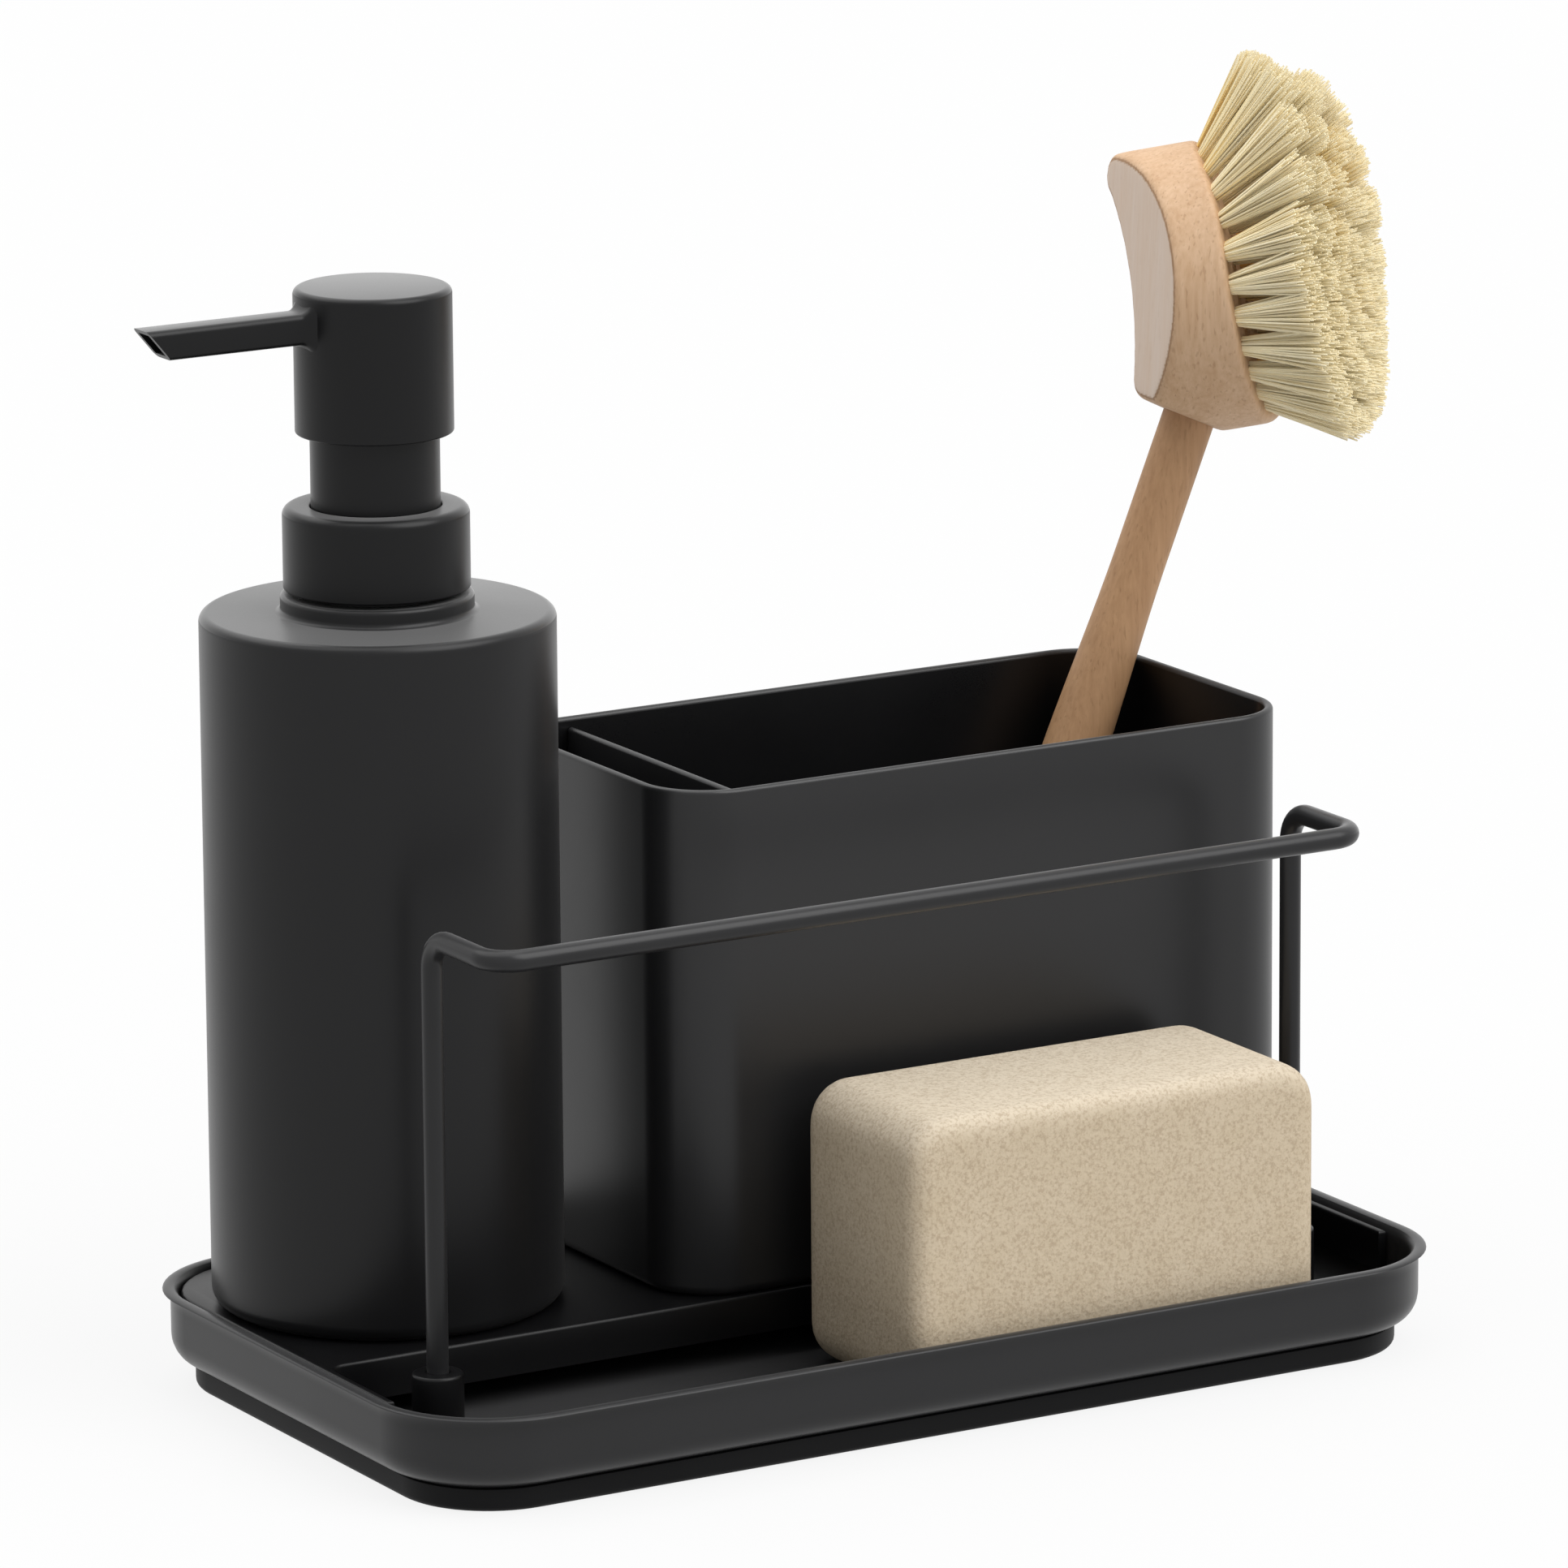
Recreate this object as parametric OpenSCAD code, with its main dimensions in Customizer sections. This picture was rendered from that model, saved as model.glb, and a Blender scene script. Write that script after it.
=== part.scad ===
// Sink-side caddy: a tray with a towel rail, a pump bottle, a tool pot with a divider,
// a dish brush and a foam sponge. Millimetres, +Z up, long side along X, front towards -Y.
// The origin is on the table, under the middle of the tray.

/* [Tray] */
// Depth of the tray over its rim, front to back
tray_depth = 118; // [112:1:150]
// Height of the rim above the table
tray_height = 18; // [16:0.5:26]
// Outer radius of the rim corners, seen from above
tray_corner_r = 23; // [18:0.5:30]
// Wall thickness of the tray
tray_wall = 1.6; // [1.2:0.1:2.2]
// How far the lip flares out past the wall
lip_flare = 1.4; // [0.6:0.1:2]
// Height of the flared lip
lip_height = 2.8; // [1.5:0.1:4]
// Height over which the wall curves in at its foot
wall_curve_h = 5; // [3:0.1:6]
// Level of the tray floor, where the sponge stands
floor_level = 5; // [4:0.1:6]

/* [Plinth] */
// Height of the plinth that the tray stands on
plinth_height = 4.8; // [4.4:0.1:5.2]
// How far the plinth lies inside the rim
plinth_inset = 5.6; // [4:0.1:8]
// Rounding of the plinth's lower edge
plinth_round = 1.2; // [0.6:0.1:2]
// Width and depth of the shadow groove under the wall
groove_size = 0.6; // [0.3:0.1:1]
// Diameter of a grip pad
pad_d = 12; // [8:0.5:16]
// Thickness of a grip pad, which lies flush in the underside
pad_thick = 1; // [0.6:0.1:1.6]
// Distance of a grip pad's middle from the edge of the plinth
pad_inset = 14; // [10:0.5:24]

/* [Platform] */
// Level of the raised platform that the bottle and pot stand on
platform_level = 17.2; // [14:0.1:20]
// Depth of the sponge trough in front of the platform
trough_depth = 45; // [43:0.5:60]
// Width of the ledge that frames each end of the trough
trough_ledge = 1.6; // [1:0.1:4]
// Length of the ledge along each end of the trough
ledge_length = 24; // [10:0.5:26]
// Corner radius of the trough's back edge
trough_corner_r = 3; // [1:0.5:6]

/* [Towel rail] */
// Diameter of the rail wire
wire_d = 3.8; // [3:0.1:5]
// Distance of a post's centre line from the end of the tray
post_inset = 18.2; // [15:0.1:30]
// Height of the bar's centre line
rail_height = 94.7; // [80:0.1:120]
// Reach of the bar in front of the posts
rail_reach = 22.5; // [16:0.5:26]
// Centre-line radius of the bends in the wire
bend_r = 5.5; // [4:0.5:7]
// Distance of the posts in front of the platform edge
post_forward = 15; // [8:0.5:20]
// Diameter of a rail socket
socket_d = 9; // [7:0.5:12]
// Level of the top of a rail socket
socket_level = 18; // [15:0.1:22]
// Depth that a post reaches into its socket
socket_grip = 11; // [6:0.5:12]

/* [Bottle] */
// Diameter of the bottle
bottle_d = 62; // [54:0.5:64]
// Height of the bottle up to its shoulder
bottle_height = 123.4; // [110:0.1:150]
// Wall thickness of the bottle
bottle_wall = 1.8; // [1.2:0.1:2.6]
// Rounding of the bottle's base edge
base_round = 3; // [1.5:0.1:5]
// Rounding of the bottle's shoulder edge
shoulder_round = 1.6; // [0.8:0.1:3]
// Gap between the bottle and the end wall of the tray
bottle_end_gap = 0.8; // [0.4:0.1:8]
// Gap between the bottle and the pot
bottle_pot_gap = 9.6; // [4:0.1:20]
// Diameter of the ring at the foot of the neck
neck_ring_d = 33.7; // [33:0.1:40]
// Height of the ring at the foot of the neck
neck_ring_h = 3.2; // [2:0.1:6]
// Outer diameter of the neck
neck_d = 25.8; // [25:0.1:26.4]
// Wall thickness of the neck
neck_wall = 1.8; // [1.4:0.1:2]
// Height of the neck above its ring
neck_height = 10.4; // [8:0.1:14]
// Depth of the screw thread that neck and nut share, left out on both
thread_depth = 0.8; // [0.4:0.1:1]

/* [Pump] */
// Diameter of the screw collar
collar_d = 32.5; // [32:0.1:38]
// Height of the screw collar
collar_height = 14.6; // [14:0.1:18]
// Rounding of the collar's top edge
collar_round = 1.6; // [0.6:0.1:2.4]
// Gap between the collar and the neck ring
collar_gap = 0.8; // [0.4:0.1:1.5]
// Wall thickness of the collar's outer shell
collar_wall = 1.2; // [0.8:0.1:1.5]
// Diameter of the guide sleeve that the head slides over
sleeve_d = 22.5; // [20:0.1:23]
// Wall thickness of the guide sleeve
sleeve_wall = 1.5; // [1:0.1:2.5]
// Height of the guide sleeve that shows between collar and head
sleeve_shows = 12.8; // [12:0.1:16]
// Diameter of the pump head
head_d = 27.5; // [26:0.1:32]
// Height of the pump head
head_height = 25.4; // [22:0.1:32]
// Wall thickness of the pump head
head_wall = 1.3; // [0.9:0.1:1.6]
// Rounding of the pump head's top edge
head_round = 1.2; // [0.5:0.1:2.5]
// Stroke of the pump
stroke = 11; // [8:0.5:11.5]
// Outer diameter of the pump cylinder in the neck
cylinder_d = 12; // [11:0.1:12.6]
// Wall thickness of the pump cylinder
cylinder_wall = 1; // [0.8:0.1:1.2]
// Length of the pump cylinder below its flange
cylinder_length = 40; // [38:0.5:50]
// Diameter of the hollow stem
stem_d = 5.6; // [5:0.1:6]
// Diameter of the stem's passage
stem_bore_d = 3; // [2:0.1:3.4]
// Diameter of the check ball
ball_d = 5; // [4.4:0.1:5.4]
// Lift of the check ball off its seat
ball_lift = 1.2; // [0.6:0.1:2]
// Outer diameter of the dip tube
tube_d = 5; // [4:0.1:5.4]
// Wall thickness of the dip tube
tube_wall = 0.8; // [0.5:0.1:1]
// Gap between the dip tube and the bottle's floor
tube_foot_gap = 5; // [3:0.5:10]
// Diameter of the return spring's wire
spring_wire_d = 0.8; // [0.6:0.1:1]
// Turns of the return spring
spring_turns = 9; // [6:1:11]

/* [Spout] */
// Reach of the spout's upper tip from the pump's axis
spout_reach = 44.8; // [36:0.1:60]
// Width of the spout
spout_width = 6; // [5:0.1:8]
// Height of the spout
spout_height = 5.4; // [4.6:0.1:7]
// Corner radius of the spout's section
spout_corner_r = 1.1; // [0.5:0.1:2]
// Wall thickness of the spout
spout_wall = 1; // [0.7:0.1:1.4]
// Distance of the spout's top below the top of the head
spout_drop = 3.1; // [2:0.1:8]
// How far the slanted mouth is cut back below
mouth_slant = 4.5; // [0:0.1:7]

/* [Tool pot] */
// Length of the pot
pot_length = 128.6; // [110:0.1:130]
// Depth of the pot, front to back
pot_depth = 66; // [50:0.1:66]
// Height of the pot
pot_height = 91.3; // [70:0.1:120]
// Corner radius of the pot, seen from above
pot_corner_r = 13; // [8:0.5:20]
// Wall thickness of the pot
pot_wall = 1.6; // [1.2:0.1:2.4]
// Thickness of the pot's floor
pot_floor = 2; // [1.4:0.1:3]
// Rounding of the pot's base edge
pot_base_round = 2; // [1:0.1:3.5]
// Gap between the pot and the end wall of the tray
pot_end_gap = 3; // [1:0.1:8]
// Gap between the back of the pot and the back wall of the tray
pot_back_gap = 0.6; // [0.4:0.1:4]
// Thickness of the divider
divider_thick = 1.4; // [1:0.1:2.4]
// Length of the small compartment that the divider makes
small_cell = 12.6; // [10:0.2:40]
// How far the divider's top lies below the pot's rim
divider_drop = 1.8; // [0.5:0.1:10]
// Width of a guide rib that holds the divider
rib_width = 1.4; // [1:0.1:3]
// How far a guide rib stands off the wall
rib_depth = 2; // [1.2:0.1:4]
// How far the guide ribs stop below the pot's rim
rib_drop = 9; // [3:0.5:20]

/* [Brush] */
// Diameter of the handle at its thickest
handle_d = 11.8; // [10:0.1:13]
// Diameter of the handle at the head
handle_neck_d = 9.7; // [8:0.1:10]
// Length of the handle from its rounded end to the head
handle_length = 141.4; // [120:0.2:170]
// Lean of the handle towards the end of the pot, in degrees
brush_lean = 22.6; // [16:0.1:24]
// Turn of the bristles from the end of the pot towards the front, in degrees
brush_turn = 48; // [0:1:90]
// Distance of the handle from the back wall of the pot
brush_back_gap = 11.8; // [9:0.1:25]
// Tilt of the head on the handle, in degrees
head_tilt = 27.5; // [15:0.5:40]
// Length of the wooden head
block_length = 53.2; // [46:0.2:60]
// Thickness of the wooden head in its middle
block_thick = 21.2; // [16:0.1:25]
// Distance of the crowned face's highest point from the head's middle line
block_crown = 6.4; // [2:0.1:9]
// How far the crowned face falls back at the top of the head
crown_fall = 7.1; // [4:0.1:9]
// How far the crowned face falls back at the handle's end of the head
crown_foot_fall = 1; // [0.5:0.1:4]
// Depth of the finger scoop in the head's back
scoop_depth = 2.4; // [1:0.1:5]
// Distance of the slanted side facets behind the top of the crown
facet_back = 9.5; // [6:0.1:14]
// Slope of the side facets, in degrees
facet_slope = 35.4; // [20:0.2:50]
// Free length of the bristles in the middle of the head
bristle_length = 22.2; // [15:0.1:28]
// Thickness of a bristle bundle's single strand
strand_d = 0.9; // [0.6:0.1:1]
// Rings of tufts round the middle one
tuft_rings = 4; // [3:1:4]
// Strands in one tuft
tuft_strands = 7; // [5:1:8]

/* [Sponge] */
// Length of the sponge
sponge_length = 83; // [60:1:95]
// Depth of the sponge, front to back
sponge_depth = 38; // [30:0.5:42]
// Height of the sponge as it stands
sponge_height = 51.3; // [40:0.1:70]
// Radius of the sponge's broad corners
sponge_corner_r = 7.5; // [4:0.5:14]
// Rounding of the sponge's front and back edges
sponge_edge_r = 3.5; // [1.5:0.1:4]
// Gap between the sponge and the end wall of the tray
sponge_end_gap = 27.5; // [20:0.5:35]

/* [Fits] */
// Running clearance of a shaft in its bore
run_fit = 0.06; // [0.02:0.01:0.1]
// Sliding clearance of a post in its socket
slide_fit = 0.1; // [0.05:0.01:0.3]
// Gap between pieces that lift or turn past each other
part_gap = 0.3; // [0.2:0.05:0.5]
// Gap under a piece that only stands on another
rest_gap = 0.05; // [0.02:0.01:0.2]

/* [Hidden] */
$fn = 64;
// Overrun of every cut
over = 1;

// Levels and places in the tray, whose length follows from what stands in it
tray_length = 2 * (lip_flare + tray_wall) + bottle_end_gap + bottle_d + bottle_pot_gap
    + pot_length + pot_end_gap;
rail_span = tray_length - 2 * post_inset;
wall_x = tray_length / 2 - lip_flare - tray_wall;
wall_y = tray_depth / 2 - lip_flare - tray_wall;
inner_r = tray_corner_r - lip_flare - tray_wall;
plinth_r = tray_corner_r - plinth_inset;
bowl_x = inner_r - wall_curve_h;
bowl_r = sponge_edge_r + part_gap;
platform_x = wall_x - part_gap;
platform_y = wall_y - part_gap;
platform_front = trough_depth - wall_y;
post_y = platform_front - post_forward;
bar_y = post_y - rail_reach;
wire_r = wire_d / 2;

// Levels and radii of the bottle and its pump, upwards
bottle_r = bottle_d / 2;
bottle_x = bottle_r + bottle_end_gap - wall_x;
bottle_y = wall_y - pot_back_gap - pot_depth / 2;
bottle_base = platform_level;
shoulder_z = bottle_base + bottle_height;
ring_z = shoulder_z + neck_ring_h;
neck_z = ring_z + neck_height;
neck_r = neck_d / 2;
throat_r = neck_r - neck_wall;
// Heights of the gasket and of the cylinder's flange on it
gasket_h = 1.2;
flange_h = 1.4;
flange_z = neck_z + gasket_h + flange_h;
collar_z = ring_z + collar_gap;
collar_top = collar_z + collar_height;
collar_r = collar_d / 2;
sleeve_r = sleeve_d / 2;
head_z = collar_top + sleeve_shows;
head_top = head_z + head_height;
head_r = head_d / 2;
sleeve_top = head_z + head_height / 5;
// Thickness of the sleeve's web
sleeve_web = 2;
cylinder_r = cylinder_d / 2;
bore_r = cylinder_r - cylinder_wall;
stem_r = stem_d / 2;
// Heights of the ball's cone, the valve chamber and the spigot for the dip tube
seat_h = 2.2;
chamber_h = 6.4;
spigot_h = 9;
ledge_z = flange_z - flange_h - cylinder_length + chamber_h;
chamber_z = ledge_z - chamber_h;
ball_r = ball_d / 2;
chamber_r = ball_r + part_gap;
tube_r = tube_d / 2;
spigot_wall = 1.2;
// Height and wall of the piston, and the height of the stem's foot below it
piston_h = 6;
piston_wall = 1.2;
stem_foot_h = 1.6;
piston_top = flange_z - part_gap;
piston_z = piston_top - piston_h;
stem_foot_share = 0.8;
stem_foot_r = stem_r + stem_foot_share * spring_wire_d;
core_r = stem_r + 2 * head_wall;
core_share = 0.62;
core_z = head_top - head_height * core_share;
stem_top = head_top - head_wall - spout_drop - spout_height;
spring_r = bore_r - part_gap - spring_wire_d / 2;
spout_z = head_top - spout_drop - spout_height;

// Places of the pot, divider, brush and sponge
pot_x = wall_x - pot_end_gap - pot_length / 2;
pot_y = bottle_y;
pot_top = platform_level + pot_height;
pot_floor_z = platform_level + pot_floor;
divider_x = pot_x - pot_length / 2 + pot_wall + small_cell + divider_thick / 2;
handle_r = handle_d / 2;
handle_neck_r = handle_neck_d / 2;
brush_rim_x = pot_x + pot_length / 2 - pot_wall - (handle_r + part_gap) / cos(brush_lean);
brush_z = pot_floor_z + part_gap + handle_r;
brush_x = brush_rim_x - (pot_top - brush_z) * tan(brush_lean);
brush_y = pot_y + pot_depth / 2 - pot_wall - brush_back_gap;
sponge_x = wall_x - sponge_end_gap - sponge_length / 2;
sponge_y = wall_curve_h - sponge_edge_r - wall_y + sponge_depth / 2;

// A quarter or other arc of points about a centre, from one angle to another
function arc(c, r, from, to, n = 8) =
    [for (i = [0:n]) c + r * [cos(from + (to - from) * i / n), sin(from + (to - from) * i / n)]];

function backwards(list) = [for (i = [len(list) - 1:-1:0]) list[i]];

// Rounded rectangle about the origin
module plate(l, d, r) {
    square([l - 2 * r, d], center = true);
    square([l, d - 2 * r], center = true);
    for (sx = [-1, 1], sy = [-1, 1])
        translate([sx * (l / 2 - r), sy * (d / 2 - r)]) circle(r);
}

// Carries a profile round a rounded rectangle: its x runs outwards from the corner centres
module around(l, d, r) {
    for (turn = [0, 180]) rotate(turn) {
        translate([r - l / 2, d / 2 - r, 0]) rotate([90, 0, 90]) linear_extrude(l - 2 * r) children();
        translate([l / 2 - r, d / 2 - r, 0]) rotate([90, 0, 0]) linear_extrude(d - 2 * r) children();
        translate([l / 2 - r, d / 2 - r, 0]) rotate_extrude(angle = 90) children();
        translate([r - l / 2, d / 2 - r, 0]) rotate_extrude(angle = 90, start = 90) children();
    }
}

// Things that stand on the pump's axis
module on_bottle() { translate([bottle_x, bottle_y, 0]) children(); }

// Section of the tray wall, from its foot on the floor up to the flared lip
module tray_wall_profile() {
    floor_z = floor_level - tray_wall;
    wall_out = tray_corner_r - lip_flare;
    curve_z = plinth_height + wall_curve_h;
    curve_w = wall_out - plinth_r;
    lip_z = tray_height - lip_height;
    polygon(concat(
        [[0, floor_z], [bowl_x, floor_z], [plinth_r - groove_size, plinth_height]],
        [for (i = [0:8]) [plinth_r + curve_w * sin(i * 90 / 8), curve_z - wall_curve_h * cos(i * 90 / 8)]],
        [[wall_out, lip_z]],
        [for (i = [1:6]) [wall_out + lip_flare * (1 - cos(i * 15)), lip_z + lip_height * sin(i * 15)]],
        [[tray_corner_r - tray_wall, tray_height]],
        [for (i = [5:-1:1]) [inner_r + lip_flare * (1 - cos(i * 15)), lip_z + lip_height * sin(i * 15)]],
        [[inner_r, floor_level + wall_curve_h]],
        arc([bowl_x, floor_level + bowl_r], bowl_r, -20, -90),
        [[0, floor_level]]
    ));
}

module tray_shell() {
    color("#2f2f30") {
        around(tray_length, tray_depth, tray_corner_r) tray_wall_profile();
        translate([0, 0, floor_level - tray_wall])
            linear_extrude(tray_wall)
                square([tray_length - 2 * tray_corner_r, tray_depth - 2 * tray_corner_r], center = true);
    }
}

// Section of the plinth: a slab with a raised edge round the tray floor and a groove under the wall
module plinth_profile() {
    under = floor_level - tray_wall;
    polygon(concat(
        [[0, 0]],
        arc([plinth_r - plinth_round, plinth_round], plinth_round, -90, 0),
        [[plinth_r, plinth_height - groove_size], [plinth_r - groove_size, plinth_height - groove_size]],
        [[plinth_r - groove_size, plinth_height], [bowl_x, under], [0, under]]
    ));
}

module pad_places() {
    inset = plinth_inset + pad_inset;
    for (sx = [-1, 1], sy = [-1, 1])
        translate([sx * (tray_length / 2 - inset), sy * (tray_depth / 2 - inset), 0]) children();
}

module base_plinth() {
    color("#232324") difference() {
        union() {
            around(tray_length, tray_depth, tray_corner_r) plinth_profile();
            linear_extrude(floor_level - tray_wall)
                square([tray_length - 2 * tray_corner_r, tray_depth - 2 * tray_corner_r], center = true);
        }
        pad_places() translate([0, 0, -over]) cylinder(d = pad_d + 2 * slide_fit, h = pad_thick + over);
    }
}

module grip_pads() {
    color("#171717") pad_places() cylinder(d = pad_d, h = pad_thick);
}

// Outline of the platform: the whole tray less the trough, with a ledge at each end
module platform_outline() {
    difference() {
        plate(2 * platform_x, 2 * platform_y, inner_r - part_gap);
        trough_outline();
    }
}

module trough_outline() {
    half = platform_x - trough_ledge;
    deep = trough_depth + over;
    r = trough_corner_r;
    translate([-half, platform_front - deep]) square([2 * half, deep - r]);
    translate([r - half, platform_front - deep]) square([2 * (half - r), deep]);
    for (side = [-1, 1]) translate([side * (half - r), platform_front - r]) circle(r);
    translate([-tray_length / 2, platform_front - deep]) square([tray_length, deep - ledge_length]);
}

module platform() {
    foot = floor_level + rest_gap;
    foot_inset = wall_curve_h + part_gap;
    top_z = floor_level + foot_inset;
    color("#2b2b2c") {
        translate([0, 0, top_z]) linear_extrude(platform_level - top_z) platform_outline();
        translate([0, 0, foot]) linear_extrude(top_z - foot) intersection() {
            platform_outline();
            plate(2 * (platform_x - foot_inset), 2 * (platform_y - foot_inset), inner_r - foot_inset);
        }
    }
}

module rail_socket(side) {
    color("#333334") translate([side * rail_span / 2, post_y, 0]) difference() {
        translate([0, 0, floor_level]) cylinder(d = socket_d, h = socket_level - floor_level);
        translate([0, 0, socket_level - socket_grip]) cylinder(r = wire_r + slide_fit, h = socket_grip + over);
    }
}

// Quarter bend of the wire in the XY plane, from the X axis to the Y axis
module wire_bend() { rotate_extrude(angle = 90) translate([bend_r, 0]) circle(wire_r); }

// Half of the rail: post, top bend, arm, front bend and half of the bar
module rail_half() {
    post_foot = socket_level - socket_grip + rest_gap;
    x = rail_span / 2;
    translate([x, post_y, post_foot]) cylinder(r = wire_r, h = rail_height - bend_r - post_foot);
    translate([x, post_y - bend_r, rail_height - bend_r]) rotate([90, 0, 90]) wire_bend();
    translate([x, post_y - bend_r, rail_height]) rotate([90, 0, 0])
        cylinder(r = wire_r, h = rail_reach - 2 * bend_r);
    translate([x - bend_r, bar_y + bend_r, rail_height]) rotate([0, 0, -90]) wire_bend();
    translate([0, bar_y, rail_height]) rotate([0, 90, 0]) cylinder(r = wire_r, h = x - bend_r);
}

module towel_rail() {
    color("#323233") {
        rail_half();
        mirror([1, 0, 0]) rail_half();
    }
}

// Half section of the bottle: outside upwards, then inside downwards
module bottle_profile() {
    inside = bottle_r - bottle_wall;
    ring_r = neck_ring_d / 2;
    ring_edge = neck_ring_h / 4;
    fillet = neck_ring_h / 3;
    polygon(concat(
        [[0, bottle_base]],
        arc([bottle_r - base_round, bottle_base + base_round], base_round, -90, 0),
        arc([bottle_r - shoulder_round, shoulder_z - shoulder_round], shoulder_round, 0, 90),
        arc([ring_r + fillet, shoulder_z + fillet], fillet, 270, 180, 5),
        arc([ring_r - ring_edge, ring_z - ring_edge], ring_edge, 0, 90, 4),
        [[neck_r + run_fit, ring_z], [neck_r + run_fit, shoulder_z - bottle_wall],
            [inside - shoulder_round, shoulder_z - bottle_wall]],
        arc([inside - shoulder_round, shoulder_z - bottle_wall - shoulder_round], shoulder_round, 90, 0, 4),
        arc([inside - base_round, bottle_base + bottle_wall + base_round], base_round, 0, -90),
        [[0, bottle_base + bottle_wall]]
    ));
}

module bottle_shell() { color("#303031") on_bottle() rotate_extrude() bottle_profile(); }

// Neck, a tube pressed into the ring, with a rim that catches under the shoulder
module neck_insert() {
    foot_z = shoulder_z - bottle_wall - rest_gap;
    color("#26292a") on_bottle() rotate_extrude() polygon([
        [throat_r, foot_z - neck_wall], [neck_r + neck_wall, foot_z - neck_wall], [neck_r + neck_wall, foot_z],
        [neck_r, foot_z], [neck_r, neck_z], [throat_r, neck_z]
    ]);
}

// Half section of the pump cylinder: spigot, valve chamber, spring ledge, bore and flange
module cylinder_profile() {
    spigot_r = tube_r + run_fit + spigot_wall;
    spigot_z = chamber_z - spigot_h;
    under = flange_z - flange_h;
    polygon([
        [tube_r + run_fit, spigot_z], [spigot_r, spigot_z], [spigot_r, chamber_z - spigot_wall],
        [chamber_r + cylinder_wall, chamber_z + cylinder_wall],
        [chamber_r + cylinder_wall, ledge_z - cylinder_wall],
        [cylinder_r, ledge_z + cylinder_wall], [cylinder_r, under], [neck_r - part_gap, under],
        [neck_r - part_gap, flange_z], [bore_r, flange_z], [bore_r, ledge_z], [chamber_r, ledge_z],
        [chamber_r, chamber_z + seat_h], [ball_r / 2, chamber_z], [ball_r / 2, chamber_z - spigot_wall],
        [tube_r + run_fit, chamber_z - spigot_wall]
    ]);
}

module pump_cylinder() { color("#d9dcdc") on_bottle() rotate_extrude() cylinder_profile(); }

module dip_tube() {
    foot = bottle_base + bottle_wall + tube_foot_gap;
    color("#e4e6e4") on_bottle() translate([0, 0, foot]) difference() {
        cylinder(r = tube_r, h = chamber_z - spigot_wall - rest_gap - foot);
        translate([0, 0, -over]) cylinder(r = tube_r - tube_wall, h = chamber_z);
    }
}

module neck_gasket() {
    color("#8f9394") on_bottle() translate([0, 0, neck_z]) difference() {
        cylinder(r = neck_r - part_gap, h = gasket_h);
        translate([0, 0, -over]) cylinder(r = cylinder_r + part_gap, h = gasket_h + 2 * over);
    }
}

// Guide sleeve: a web on the cylinder's flange with the stem's guide bore, and the tube round it
module guide_sleeve() {
    color("#2c2c2d") on_bottle() translate([0, 0, flange_z]) rotate_extrude() polygon([
        [stem_r + run_fit, 0], [sleeve_r, 0], [sleeve_r, sleeve_top - flange_z],
        [sleeve_r - sleeve_wall, sleeve_top - flange_z], [sleeve_r - sleeve_wall, sleeve_web],
        [stem_r + run_fit, sleeve_web]
    ]);
}

// Check ball, at rest on the cone of its seat
module check_ball() {
    slope = atan2(seat_h, chamber_r - ball_r / 2);
    seat_x = ball_r * sin(slope);
    ball_z = chamber_z + (seat_x - ball_r / 2) * tan(slope) + ball_r * cos(slope) + rest_gap / cos(slope);
    color("#b9bcc0") on_bottle() translate([0, 0, ball_z]) sphere(ball_r);
}

module collar_shell() {
    lip_r = sleeve_r + part_gap;
    inside = collar_r - collar_wall;
    color("#303031") on_bottle() rotate_extrude() polygon(concat(
        [[inside, collar_z], [collar_r, collar_z]],
        arc([collar_r - collar_round, collar_top - collar_round], collar_round, 0, 90),
        [[lip_r, collar_top], [lip_r, collar_top - collar_wall], [inside, collar_top - collar_wall]]
    ));
}

// Screw nut inside the collar, whose lip holds the cylinder's flange down on the neck
module collar_nut() {
    outside = collar_r - collar_wall - slide_fit;
    lip_z = flange_z + rest_gap;
    bore = neck_r + thread_depth + part_gap;
    color("#26292a") on_bottle() rotate_extrude() polygon([
        [bore, collar_z + collar_wall], [outside, collar_z + collar_wall],
        [outside, collar_top - collar_wall - rest_gap],
        [sleeve_r + part_gap, collar_top - collar_wall - rest_gap],
        [sleeve_r + part_gap, lip_z], [bore, lip_z]
    ]);
}

// Piston with a thin lip at each end that wipes the bore
module piston_seal() {
    lip = bore_r - run_fit;
    waist = lip - piston_wall / 2;
    color("#c9cccd") on_bottle() translate([0, 0, piston_z]) rotate_extrude() polygon([
        [stem_r + run_fit, 0], [lip, 0], [lip, piston_wall], [waist, 2 * piston_wall],
        [waist, piston_h - 2 * piston_wall], [lip, piston_h - piston_wall], [lip, piston_h],
        [stem_r + run_fit, piston_h]
    ]);
}

// Return spring, one unbroken helix between the ledge and the piston
spring_z0 = ledge_z + part_gap + spring_wire_d / 2;
spring_z1 = piston_z - part_gap - spring_wire_d / 2;
spring_rings = 10;
function spring_point(i) =
    let (turn = i / spring_rings, rise = (spring_z1 - spring_z0) / spring_turns)
    [spring_r * cos(360 * turn), spring_r * sin(360 * turn), spring_z0 + rise * turn];
function spring_ring(i, sides) =
    [for (k = [0:sides - 1]) let (a = 360 * i / spring_rings, b = 360 * k / sides, w = spring_wire_d / 2)
        spring_point(i) + w * [cos(b) * cos(a), cos(b) * sin(a), sin(b)]];

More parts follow.
